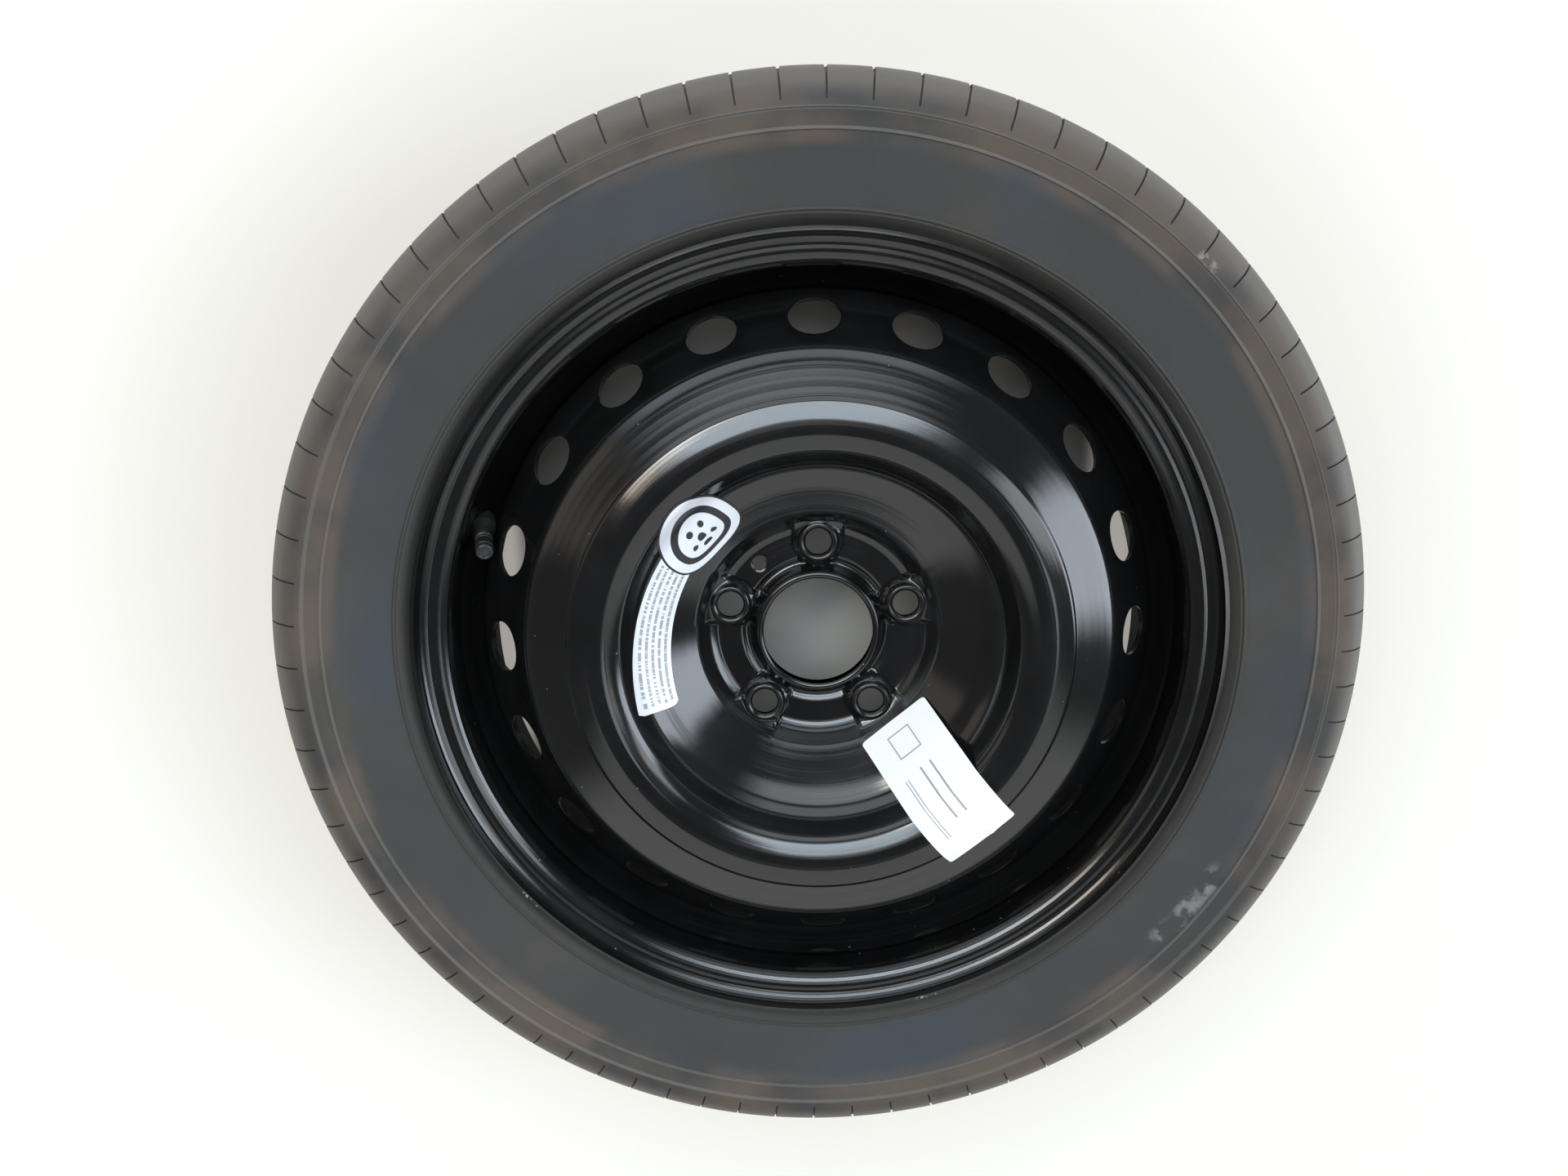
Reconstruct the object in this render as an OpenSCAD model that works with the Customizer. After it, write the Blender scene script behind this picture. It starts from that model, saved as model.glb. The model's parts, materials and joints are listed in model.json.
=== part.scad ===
// Temporary spare wheel: a narrow tyre on a rolled steel rim with a pressed, welded disc.
// The wheel lies flat. Z is its axle line, the street side is up, and Z = 0 is the middle
// plane of tyre and rim. Outlines are written as [radius, height, bend radius].

/* [Tyre] */
// Overall diameter across the tread
tyre_d = 634.8; // [630:0.2:640]
// Width over the sidewalls
section_w = 145; // [143:0.5:150]
// Radius of the shoulder between tread and sidewall
shoulder_r = 22; // [20:0.5:24]
// Rubber under the tread
tread_t = 12; // [10:0.5:14]
// Rubber of the sidewall
side_t = 6; // [5:0.5:8]
// Width of the bead from heel to toe
bead_w = 17; // [15:0.5:17.5]
// Width of a groove round the tread
groove_w = 6; // [4:0.5:8]
// Depth of a groove round the tread
groove_depth = 4; // [3:0.5:5]
// Distance between the grooves round the tread
groove_pitch = 25; // [20:0.5:28]
// Number of cross slots round each shoulder
slot_count = 80; // [40:1:90]
// Width of a cross slot
slot_w = 1.4; // [1:0.1:2.5]
// Depth of a cross slot
slot_depth = 2; // [1.5:0.1:3]
// Length of a cross slot on the tread
slot_run = 8; // [4:0.5:10]
// Angle of the first cross slot in degrees
slot_start = 4.5; // [0:0.5:9]
// Swing of the slot spacing in degrees, which keeps the tyre quiet
slot_swing = 1.15; // [0:0.05:1.5]
// How far inside the tread the shoulder rubber ends, in a step
step_ring_in = 24.5; // [24:0.1:27]
// Height of that step
step_ring_h = 0.9; // [0.5:0.1:1.5]
// How far inside that step the thin moulded ring lies
thin_ring_in = 9.6; // [7:0.1:16]
// Height of the thin rings
ring_h = 0.8; // [0.4:0.1:1]
// Width of the thin rings
ring_w = 1.2; // [0.8:0.1:2]

/* [Rim] */
// Width between the flanges, four inches
rim_w = 101.6; // [98:0.1:104]
// Bead seat diameter, nominal seventeen inches
seat_d = 436.6; // [435:0.1:438]
// Slope of the bead seats in degrees
seat_taper = 5; // [4:0.5:6]
// Height of the flange above the bead seat
flange_h = 17.4; // [16:0.1:18]
// Width of the flange beyond the tyre
flange_w = 11.8; // [11:0.1:12.5]
// Bend radius of the flange curl
curl_r = 9.5; // [8.5:0.1:10.2]
// Bend radius between flange and bead seat
heel_r = 6.5; // [5:0.1:7]
// Sheet thickness of the rim
rim_t = 2.4; // [2:0.1:2.6]
// Height of the hump above the bead seat
hump_h = 2.4; // [1.5:0.1:3]
// Height of the hump above the middle plane
hump_z = 27; // [26:0.1:28]
// Depth of the well below the bead seat
well_depth = 12.2; // [11:0.1:13]
// Height of the well's upper edge
well_top = 5; // [4:0.5:6]
// Width of the well
well_w = 22; // [20:0.5:22.5]
// Depth of the bend in the well's slope, below the bead seat
slope_depth = 7.5; // [6.5:0.1:8.5]
// Height of the bend in the well's slope
slope_z = 10; // [9:0.1:11]
// Gap between tyre and rim
bead_gap = 0.15; // [0.1:0.05:0.3]

/* [Disc] */
// Height of the hub mounting face above the middle plane
offset_z = 9.5; // [8:0.1:11]
// Sheet thickness of the disc
disc_t = 3.6; // [3:0.1:4]
// Height of the crown above the middle plane
crown_z = 71; // [69:0.1:72]
// How far inside the crest the bowl's floor turns up
bowl_in = 26.9; // [25.5:0.1:27.5]
// Depth of the bowl's floor there, below the crest
bowl_depth = 23.4; // [22:0.1:25]
// Slope of the bowl's wall in degrees
bowl_slope = 66.3; // [63:0.1:70]
// How far inside the step the crest lies
crest_in = 11.2; // [10:0.1:12.5]
// Radius of the pressed step outside the crest
step_r = 145.7; // [144.5:0.1:147]
// Drop from the crest to the step
step_z = 2.1; // [1.5:0.1:2.5]
// Height of the step
step_h = 2; // [1:0.1:2.6]
// Width of the vent band, from the brow to the rim
vent_band = 33.65; // [32:0.05:35]
// Slope of the vent band in degrees
vent_slope = 51.3; // [50:0.1:52]
// Height where the vent band meets the flange in the rim
shoulder_z = 15.8; // [15:0.1:17]
// Lower edge of that flange
foot_z = -8; // [-9:0.1:-6]
// Clearance of the disc in the rim's well
press_gap = 0.05; // [0.02:0.01:0.1]

/* [Vents] */
// Number of vent holes
vent_count = 20; // [12:1:22]
// Diameter of a vent hole
vent_d = 30; // [24:0.5:32]
// How far inside the rim's seat the ring of vent holes lies
vent_in = 14.85; // [13.7:0.05:15.6]
// Turn of the vent holes against the bolt holes in degrees
vent_turn = 0.7; // [0:0.1:18]

/* [Hub] */
// Centre bore
bore_d = 66.6; // [64:0.1:68]
// Bolt circle diameter
pcd = 112; // [110:0.1:114]
// Number of wheel bolts
bolt_count = 5; // [3:1:5]
// Diameter of a bolt hole
bolt_hole_d = 15.7; // [14:0.1:16.5]
// Largest diameter of the bolt's seat
bolt_seat_d = 20; // [19:0.1:20.6]
// Diameter of the ring round a bolt hole, across its top
boss_d = 21.6; // [21:0.1:22.4]
// Height of that ring above its island
boss_h = 3.2; // [2.5:0.1:3.5]
// Height of the island round a bolt hole, above the pads
island_h = 4.2; // [3.6:0.1:4.5]
// Length of an island as an angle in degrees
island_angle = 28.4; // [27:0.2:32]
// Inner radius of the pads
pad_r0 = 47; // [46.5:0.1:48]
// Outer radius of the pads
pad_r1 = 61.6; // [60:0.1:62]
// Radius where the hub's wall steepens
hub_wall_r = 66; // [65.5:0.1:67]
// Radius of the edge round the hub
hub_edge_r = 73.5; // [73:0.1:75]
// Height of that edge above the pads
hub_edge_h = 12.2; // [11:0.1:13]
// Height of the collar round the bore, above the pads
lip_h = 8; // [7:0.1:9]
// Width of the collar at its foot
lip_w = 7.5; // [7:0.1:8]
// Depth of the groove between collar and pads
moat_depth = 1.6; // [0.8:0.1:1.8]
// Diameter of the locating hole
pin_hole_d = 8.1; // [6:0.1:9]
// Distance of the locating hole from the axle
pin_hole_r = 54.1; // [53:0.1:55]
// Angle of the locating hole in degrees
pin_hole_angle = 131; // [122:0.5:133]

/* [Welds] */
// Number of weld beads between disc and rim
weld_count = 8; // [4:1:10]
// Length of a bead as an angle in degrees
weld_angle = 16; // [10:1:24]
// Leg of the fillet
weld_leg = 3; // [2:0.1:3.2]

/* [Valve] */
// Angle of the valve round the rim
valve_angle = 161.2; // [158:0.1:163]
// Height of the valve's root
valve_z = 17; // [16.5:0.1:18]
// Tilt of the valve towards the axle in degrees
valve_tilt = 18.8; // [16:0.1:21]
// Lean of the valve along the rim in degrees
valve_lean = 14.4; // [12:0.1:17]
// Diameter of the valve hole
valve_hole_d = 11.3; // [11:0.1:11.8]
// Diameter of the rubber bulb outside the rim
bulb_d = 15.2; // [14.6:0.1:15.4]
// Length of the rubber above the rim
rubber_h = 19.5; // [18.5:0.1:20.2]
// Length of the brass tube above the rim
tube_h = 31.5; // [31:0.1:32]
// Thread diameter of the tube
tube_d = 7.7; // [7.5:0.1:7.9]
// Bore of the tube for the core
core_d = 5.2; // [5:0.1:5.4]
// Outer diameter of the cap
cap_d = 10.4; // [10:0.1:10.8]
// Length of the cap
cap_h = 13; // [12.8:0.1:13.6]
// Diameter of the core's pin
pin_d = 1.4; // [1.2:0.1:1.6]
// Running gap of the pin
run_gap = 0.08; // [0.05:0.01:0.1]

/* [Labels] */
// Thickness of the film label
film_t = 0.3; // [0.2:0.05:0.5]
// Radial width of the round film label
badge_w = 40; // [36:0.5:42]
// Length of the round film label round the bowl
badge_l = 49.6; // [44:0.2:52]
// Distance of its centre from the turn of the bowl's floor
badge_in = 7.2; // [5.6:0.2:8.6]
// Angle of its centre in degrees
badge_angle = 137; // [134:0.5:140]
// Distance of the label's tail from the hub's edge
tail_out = 12.5; // [10.5:0.5:14.5]
// Radial width of the tail
tail_w = 20; // [17:0.5:21]
// Angle where the tail ends
tail_end = 205; // [195:0.5:210]
// How far the tail wanders outwards
tail_drift = 7.8; // [4:0.2:8]
// Width of the paper label
paper_w = 48.8; // [46:0.2:50]
// Thickness of the paper label
paper_t = 0.3; // [0.2:0.05:0.4]
// Direction of the paper label in degrees
paper_angle = -50.3; // [-54:0.1:-48]
// Gap between a label and the disc
label_gap = 0.05; // [0.03:0.01:0.1]

/* [Hidden] */
$fn = 120;
small_fn = 32;
join = 0.01;

black = [0.06, 0.06, 0.065];
rubber = [0.09, 0.09, 0.09];
brass = [0.72, 0.55, 0.27];
white = [0.93, 0.93, 0.95];

function unit(v) = v / norm(v);
function left(a, b) = let (d = unit(b - a)) [-d[1], d[0]];
function xy(p) = [p[0], p[1]];
function polar(r, a) = [r * cos(a), r * sin(a)];

// Points of a line moved sideways, to its left
function moved(line, shift) = [
  for (i = [0:len(line) - 1])
    let (
      i0 = max(i, 1),
      i1 = min(i, len(line) - 2),
      a = left(xy(line[i0 - 1]), xy(line[i0])),
      b = left(xy(line[i1]), xy(line[i1 + 1]))
    )
    xy(line[i]) + shift * (a + b) / (1 + a * b)
];

// Points of the arc that rounds corner b between a and c
function arc(a, b, c, r) =
  let (
    u = unit(a - b),
    v = unit(c - b),
    half = acos(u * v) / 2,
    m = b + unit(u + v) * r / sin(half),
    p = b + u * r / tan(half) - m,
    q = b + v * r / tan(half) - m,
    a0 = atan2(p[1], p[0]),
    sweep = (atan2(q[1], q[0]) - a0 + 540) % 360 - 180,
    n = max(2, ceil(abs(sweep) / 14))
  )
  [for (i = [0:n]) m + polar(r, a0 + sweep * i / n)];

// A line with its bends, moved sideways to its left
function bent(line, shift = 0) =
  let (pts = moved(line, shift))
  [
    for (i = [0:len(line) - 1])
      each (line[i][2] == 0 ? [pts[i]] :
        let (
          d = left(xy(line[i - 1]), xy(line[i])),
          side = sign(d * (xy(line[i + 1]) - xy(line[i])))
        )
        arc(pts[i - 1], pts[i], pts[i + 1], max(least_bend, line[i][2] - side * shift)))
  ];

function reversed(pts) = [for (i = [len(pts) - 1:-1:0]) pts[i]];
function flipped(line) = [
  for (i = [len(line) - 1:-1:0]) [line[i][0], -line[i][1], line[i][2]]
];

least_bend = 0.6;

// Rim
seat_r = seat_d / 2;
flange_r = seat_r + flange_h;
well_r = seat_r - well_depth;
hump_foot = 4.5;
function seat_at(z) = seat_r - (rim_w / 2 - z) * tan(seat_taper);

rim_flange = [
  [flange_r, rim_w / 2 + flange_w, 0],
  [flange_r, rim_w / 2, curl_r],
  [seat_r, rim_w / 2, heel_r],
  [seat_at(hump_z + hump_foot), hump_z + hump_foot, 8],
  [seat_at(hump_z) + hump_h, hump_z, 5]
];
rim_well = [
  [seat_r - slope_depth, slope_z, 12],
  [well_r, well_top, 6],
  [well_r, well_top - well_w, 6]
];
rim_line = concat(rim_flange, rim_well, flipped(rim_flange));

// Disc
bore_r = bore_d / 2;
pad_z = offset_z + disc_t;
disc_r = well_r - rim_t - press_gap;
brow_r = disc_r - vent_band;
vent_r = disc_r - vent_in;
crest_r = step_r - crest_in;
bowl_r = crest_r - bowl_in;
bowl_z = crown_z - bowl_depth;
brow_z = shoulder_z + (disc_r - brow_r) * tan(vent_slope);
wall_top_z = crown_z - 3.8;
wall_top_r = bowl_r + (wall_top_z - bowl_z) / tan(bowl_slope);
crest_w = 8;
step_half = 1.1;
floor_w = 12.6;
floor_drop = 6.6;
hub_wall_h = 2.4;

disc_line = [
  [pad_r0, pad_z, 0],
  [pad_r1, pad_z, 4],
  [hub_wall_r, pad_z + hub_wall_h, 5],
  [hub_edge_r, pad_z + hub_edge_h, 3.6],
  [bowl_r - floor_w, bowl_z - floor_drop, 50],
  [bowl_r, bowl_z, 7],
  [wall_top_r, wall_top_z, 9],
  [crest_r - crest_w, crown_z - 0.3, 12],
  [crest_r, crown_z, 12],
  [step_r - step_half, crown_z - step_z, 3],
  [step_r + step_half, crown_z - step_z - step_h, 3],
  [brow_r, brow_z, 20],
  [disc_r, shoulder_z, 8],
  [disc_r, foot_z, 0]
];

lip_top = pad_z + lip_h;
lip_round = 1.7;
moat_z = pad_z - moat_depth;
lip_line = [
  [bore_r, lip_top - lip_round],
  [bore_r + lip_round * 0.4, lip_top - lip_round * 0.4],
  [bore_r + lip_round, lip_top],
  [bore_r + lip_w * 0.45, lip_top],
  [bore_r + lip_w * 0.62, lip_top - lip_round],
  [bore_r + lip_w - 0.6, moat_z + 2.4],
  [bore_r + lip_w + 0.6, moat_z + 0.3],
  [bore_r + lip_w + 1.4, moat_z],
  [pad_r0 - 3.2, moat_z],
  [pad_r0 - 1.2, pad_z - 0.3]
];
bore_chamfer = 0.8;

// Tyre
tyre_r = tyre_d / 2;
step_ring_r = tyre_r - step_ring_in;
thin_ring_r = step_ring_r - thin_ring_in;
half_w = section_w / 2;
crown_drop = 1.4;
edge_z = half_w - shoulder_r;
edge_r = tyre_r - crown_drop;
function tread_at(z) = tyre_r - crown_drop * (z / edge_z) * (z / edge_z);

// The sidewall runs straight from the fitting line at the rim to the step ring
curl_c = [flange_r - curl_r, rim_w / 2 + curl_r];
wall_r0 = flange_r + 6.2;
wall_z0 = rim_w / 2 + flange_w;
wall_slope = (half_w - step_ring_h - wall_z0) / (step_ring_r - wall_r0);
function side_at(r) = wall_z0 + (r - wall_r0) * wall_slope;
function thin_ring(r) = [
  [r + ring_w, side_at(r + ring_w)],
  [r + ring_w / 2, side_at(r) + ring_h],
  [r - ring_w / 2, side_at(r) + ring_h],
  [r - ring_w, side_at(r - ring_w)]
];
function groove(z) = [
  [tread_at(z - groove_w / 2), z - groove_w / 2],
  [tread_at(z) - groove_depth, z - groove_w / 3],
  [tread_at(z) - groove_depth, z + groove_w / 3],
  [tread_at(z + groove_w / 2), z + groove_w / 2]
];

toe_z = rim_w / 2 - bead_w;
bead_curl = curl_r + bead_gap;
bead_line = [
  [curl_c[0], rim_w / 2 - bead_gap, 0],
  [seat_at(rim_w / 2) + bead_gap, rim_w / 2 - bead_gap, heel_r - bead_gap],
  [seat_at(toe_z) + bead_gap, toe_z, 0]
];
inner_line = [
  [seat_at(toe_z) + bead_gap, toe_z, 0],
  [seat_r + 3, toe_z - 1.5, 1.5],
  [seat_r + 16, rim_w / 2 - 7, 12],
  [flange_r + 12, side_at(flange_r + 12) - side_t - 1.5, 30],
  [thin_ring_r, side_at(thin_ring_r) - side_t, 60],
  [tyre_r - tread_t, half_w - side_t - 0.6, 24],
  [tyre_r - tread_t, 0, 0]
];
tyre_half = concat(
  [for (p = groove(0)) if (p[1] > 0) p],
  groove(groove_pitch),
  [for (i = [0:6]) [edge_r - shoulder_r, edge_z] + polar(shoulder_r, 15 * i)],
  [[step_ring_r + 0.5, half_w], [step_ring_r - 0.5, side_at(step_ring_r)]],
  thin_ring(thin_ring_r),
  thin_ring(wall_r0 + 2 * ring_w),
  [[wall_r0, wall_z0]],
  [for (i = [3:5]) curl_c + polar(bead_curl, -15 * i)],
  bent(bead_line),
  [for (p = bent(inner_line)) if (p[1] < toe_z - join || p[0] > seat_r + 2) p]
);

module tyre() {
  color(rubber)
    difference() {
      rotate_extrude()
        polygon(concat(tyre_half, reversed([for (p = tyre_half) if (p[1] > 0) [p[0], -p[1]]])));
      for (i = [0:slot_count - 1])
        rotate(slot_angle(i)) {
          slot();
          mirror([0, 0, 1])
            slot();
        }
    }
}

// The spacing swings in three overlaid waves round the tyre
function slot_angle(i) =
  let (a = 360 * i / slot_count)
  slot_start + a
  + slot_swing * (0.8 * sin(a - 162) + 0.5 * sin(2 * a + 132) + sin(3 * a - 161));

slot_out = 1.5;
slot_end = 2;
module slot() {
  floor_r = shoulder_r - slot_depth;
  rotate([90, 0, 0])
    linear_extrude(slot_w, center = true)
      translate([edge_r - shoulder_r, edge_z])
        difference() {
          translate([slot_end, -slot_run])
            square([shoulder_r + slot_out - slot_end, slot_run + shoulder_r + slot_out]);
          circle(floor_r);
          translate([0, -slot_run - 1])
            square([floor_r, slot_run + 1]);
        }
}

module rim() {
  color(black)
    difference() {
      rotate_extrude()
        polygon(concat(bent(rim_line), reversed(bent(rim_line, -rim_t))));
      on_valve()
        cylinder(d = valve_hole_d, h = 60, center = true, $fn = small_fn);
    }
}

module disc() {
  color(black)
    difference() {
      union() {
        rotate_extrude()
          polygon(concat(
            [[bore_r, offset_z + bore_chamfer]],
            lip_line,
            bent(disc_line),
            reversed(bent(disc_line, -disc_t)),
            [[bore_r + bore_chamfer, offset_z]]
          ));
        for (i = [0:bolt_count - 1])
          rotate(90 + 360 * i / bolt_count)
            boss();
      }
      for (i = [0:bolt_count - 1])
        rotate(90 + 360 * i / bolt_count)
          boss_hollow();
      for (i = [0:vent_count - 1])
        rotate(90 + vent_turn + 360 * i / vent_count)
          translate([vent_r, 0, shoulder_z + (disc_r - vent_r) * tan(vent_slope)])
            rotate([0, 90 - vent_slope, 0])
              cylinder(d = vent_d, h = 8 * disc_t, center = true, $fn = 48);
      rotate(pin_hole_angle)
        translate([pin_hole_r, 0, 0])
          cylinder(d = pin_hole_d, h = 2 * pad_z, $fn = small_fn);
    }
}

// A sector round the axle from a section in [radius, height]
module sector(angle, section) {
  rotate(-angle / 2)
    rotate_extrude(angle = angle)
      polygon(section);
}

island_z = pad_z + island_h;
boss_z = island_z + boss_h;
island_r0 = bore_r + lip_w + 1.8;
island_slope = 1.6;
boss_flare = 2.4;
module boss() {
  sector(island_angle, [
    [island_r0, pad_z - moat_depth / 2],
    [island_r0 + island_slope, island_z - 0.7],
    [island_r0 + island_slope + 0.9, island_z],
    [hub_wall_r + 1, island_z],
    [hub_wall_r + 1, pad_z - moat_depth / 2]
  ]);
  translate([pcd / 2, 0, island_z - 1])
    cylinder(d1 = boss_d + 2 * boss_flare, d2 = boss_d, h = boss_h + 1, $fn = 48);
}

module boss_hollow() {
  seat_h = (bolt_seat_d - bolt_hole_d) / 2;
  hollow_z = island_z - disc_t;
  sector(island_angle - 2 * asin(disc_t / pcd * 2) + 2, [
    [pad_r0 + 1.2, offset_z - 1],
    [pad_r0 + 1.6, hollow_z],
    [pad_r1 + 0.8, hollow_z],
    [pad_r1 + 1.2, offset_z - 1]
  ]);
  translate([pcd / 2, 0, 0]) {
    cylinder(d = bolt_hole_d, h = boss_z + 1, $fn = small_fn);
    translate([0, 0, boss_z - seat_h])
      cylinder(d1 = bolt_hole_d, d2 = bolt_seat_d + 1, h = seat_h + 0.5, $fn = small_fn);
    translate([0, 0, hollow_z - 0.5])
      cylinder(d1 = bolt_hole_d + 4.6, d2 = bolt_hole_d, h = 2.3, $fn = small_fn);
  }
}

module disc_welds() {
  corner = [disc_r + press_gap, foot_z];
  color(black)
    for (i = [0:weld_count - 1])
      rotate(360 * (i + 0.5) / weld_count - weld_angle / 2)
        rotate_extrude(angle = weld_angle)
          polygon([
            corner,
            corner - [weld_leg, 0],
            corner - [weld_leg * 0.6, weld_leg * 0.6],
            corner - [0, weld_leg]
          ]);
}

// The valve's frame has its origin in the hole, on the rim's street side
rim_air = bent(rim_line, -rim_t);
valve_span = [
  for (i = [1:len(rim_air) - 1])
    if (rim_air[i - 1][1] > valve_z && rim_air[i][1] <= valve_z) [rim_air[i - 1], rim_air[i]]
][0];
valve_r = lookup(valve_z, [
  [valve_span[1][1], valve_span[1][0]],
  [valve_span[0][1], valve_span[0][0]]
]);
module on_valve() {
  rotate(valve_angle)
    translate([valve_r, 0, valve_z])
      rotate([-valve_lean, -valve_tilt, 0])
        children();
}

// A turned part on the valve's axle, from pairs of [radius, height]
module turned(outer, inner) {
  on_valve()
    rotate_extrude($fn = small_fn)
      polygon(concat(outer, reversed(inner)));
}

hole_gap = 0.1;
tube_foot = 2;
rubber_foot = -13;
snap_w = 2.6;
bulb_h = 6;
collar_d = bulb_d - 4.8;
module valve_rubber() {
  neck = valve_hole_d / 2 - hole_gap;
  snap_r = neck + snap_w;
  tube_seat = tube_d / 2 - stem_step;
  color(rubber)
    difference() {
      turned(
        [
          [snap_r - 1.2, rubber_foot],
          [snap_r, rubber_foot + 1],
          [snap_r, rubber_foot + 3.5],
          [neck, rubber_foot + 5],
          [neck, -bulb_h / 2],
          [bulb_d / 2, -bulb_h / 2],
          [bulb_d / 2, bulb_h],
          [bulb_d / 2 - 1.2, bulb_h * 1.5],
          [collar_d / 2 + 0.2, bulb_h * 2],
          [collar_d / 2, rubber_h - 0.6],
          [collar_d / 2 - 0.6, rubber_h]
        ],
        [
          [air_r, rubber_foot],
          [air_r, tube_foot],
          [tube_seat, tube_foot],
          [tube_seat, rubber_h]
        ]
      );
      difference() {
        rotate_extrude()
          polygon(concat(
            bent(rim_line, hole_gap),
            reversed(bent(rim_line, -rim_t - hole_gap))
          ));
        on_valve()
          cylinder(r = neck, h = 60, center = true, $fn = small_fn);
      }
    }
}

stem_step = 0.6;
air_r = 1.6;
core_depth = 3;
core_top = tube_h - core_depth;
module valve_tube() {
  tube_seat = tube_d / 2 - stem_step;
  color(brass)
    turned(
      [
        [tube_seat, tube_foot],
        [tube_seat, rubber_h],
        [tube_d / 2, rubber_h + 0.6],
        [tube_d / 2, tube_h - 0.5],
        [tube_d / 2 - 0.5, tube_h]
      ],
      [
        [air_r, tube_foot],
        [air_r, core_foot - cup_h - 3],
        [core_d / 2, core_foot - cup_h - 1],
        [core_d / 2, tube_h]
      ]
    );
}

core_h = 13;
core_foot = core_top - core_h;
barrel_r = core_d / 2 - 0.03;
barrel_floor = 1.5;
spring_r = 1.5;
module core_barrel() {
  color(brass)
    difference() {
      turned(
        [
          [barrel_r - seal_t, core_foot],
          [barrel_r - seal_t, core_foot + seal_h],
          [barrel_r, core_foot + seal_h],
          [barrel_r, core_top]
        ],
        [
          [pin_d / 2 + run_gap, core_foot],
          [pin_d / 2 + run_gap, core_foot + barrel_floor],
          [spring_r + 0.3, core_foot + barrel_floor],
          [spring_r + 0.3, core_top]
        ]
      );
      on_valve()
        translate([0, 0, core_foot])
          cube([2 * spring_r, 0.6, 2 * barrel_floor + 1], center = true);
    }
}

seal_h = 3;
seal_t = 0.8;
module core_seal() {
  color(rubber)
    turned(
      [[barrel_r, core_foot + 0.3], [barrel_r, core_foot + seal_h - 0.1]],
      [[barrel_r - seal_t, core_foot + 0.3], [barrel_r - seal_t, core_foot + seal_h - 0.1]]
    );
}

cup_h = 2;
collar_z = core_top - 1.6;
pin_top = tube_h - 0.4;
module core_pin() {
  color(brass)
    turned(
      [
        [pin_d / 2, core_foot - cup_h],
        [pin_d / 2, collar_z],
        [spring_r, collar_z],
        [spring_r, collar_z + 0.6],
        [pin_d / 2, collar_z + 0.6],
        [pin_d / 2, pin_top - 0.2],
        [pin_d / 2 - 0.2, pin_top]
      ],
      [[0, core_foot - cup_h], [0, pin_top]]
    );
}

module core_cup() {
  color(rubber)
    turned(
      [
        [barrel_r - seal_t - 0.2, core_foot - cup_h],
        [barrel_r - seal_t - 0.2, core_foot - 0.02]
      ],
      [[pin_d / 2, core_foot - cup_h], [pin_d / 2, core_foot - 0.02]]
    );
}

wire_d = 0.3;
coils = 7;
module core_spring() {
  z0 = core_foot + barrel_floor;
  pitch = (collar_z - z0 - wire_d) / (coils - 1);
  color(brass)
    on_valve()
      translate([0, 0, z0 + wire_d / 2])
        for (i = [0:coils - 1])
          translate([0, 0, pitch * i]) {
            rotate_extrude($fn = small_fn)
              translate([spring_r - wire_d, 0])
                circle(d = wire_d, $fn = 16);
            if (i > 0)
              rotate(180 * i)
                translate([spring_r - wire_d, 0, -pitch])
                  cylinder(d = 0.8 * wire_d, h = pitch, $fn = 16);
          }
}

cap_gap = 1.2;
cap_z = rubber_h + cap_gap;
thread_h = 6.4;
cap_seal_z = tube_h + 0.05;
cap_seal_t = 0.7;
thread_gap = 0.08;
module valve_cap() {
  top = cap_z + cap_h;
  bore = tube_d / 2 + thread_gap;
  color(black)
    turned(
      [
        [cap_d / 2 - 0.4, cap_z],
        [cap_d / 2, cap_z + 0.6],
        [cap_d / 2, top - 1.6],
        [cap_d / 2 - 0.6, top - 0.6],
        [cap_d / 2 - 2, top - 0.1],
        [0, top]
      ],
      [
        [bore + 0.5, cap_z],
        [bore + 0.5, tube_h - thread_h],
        [bore, tube_h - thread_h + 0.5],
        [bore, cap_seal_z + cap_seal_t + 0.03],
        [0, cap_seal_z + cap_seal_t + 0.03]
      ]
    );
}

module cap_seal() {
  color(rubber)
    on_valve()
      translate([0, 0, cap_seal_z])
        cylinder(r = tube_d / 2 - 0.05, h = cap_seal_t, $fn = small_fn);
}

// One outline: the round end from tail edge to tail edge, then the tail's two edges.
// The round end is flatter on its side towards the hub.
badge_r = bowl_r - badge_in;
tail_r = hub_edge_r + tail_out;
tail_start = badge_angle + 13.5;
tail_skew = 4.5;
tail_steps = 16;
flatness = 0.45;
badge_start = 145;
function badge_at(a) =
  let (c = cos(a))
  polar(badge_r + badge_w / 2 * (c > 0 ? c : -pow(-c, flatness)), badge_angle)
  + polar(badge_l / 2 * sin(a), badge_angle + 90);
function tail_at(r, end, t) =
  polar(r + tail_drift * t, tail_start + (end - tail_start) * t);
label_outline = concat(
  [for (i = [0:29]) badge_at(badge_start + 10 * i)],
  [for (i = [0:tail_steps]) tail_at(tail_r + tail_w, tail_end - tail_skew, i / tail_steps)],
  [for (i = [tail_steps:-1:0]) tail_at(tail_r, tail_end, i / tail_steps)]
);
module speed_label() {
  color(white)
    intersection() {
      linear_extrude(2 * crown_z)
        polygon(label_outline);
      rotate_extrude()
        polygon(concat(
          bent(disc_line, label_gap),
          reversed(bent(disc_line, label_gap + film_t))
        ));
    }
}

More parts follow.
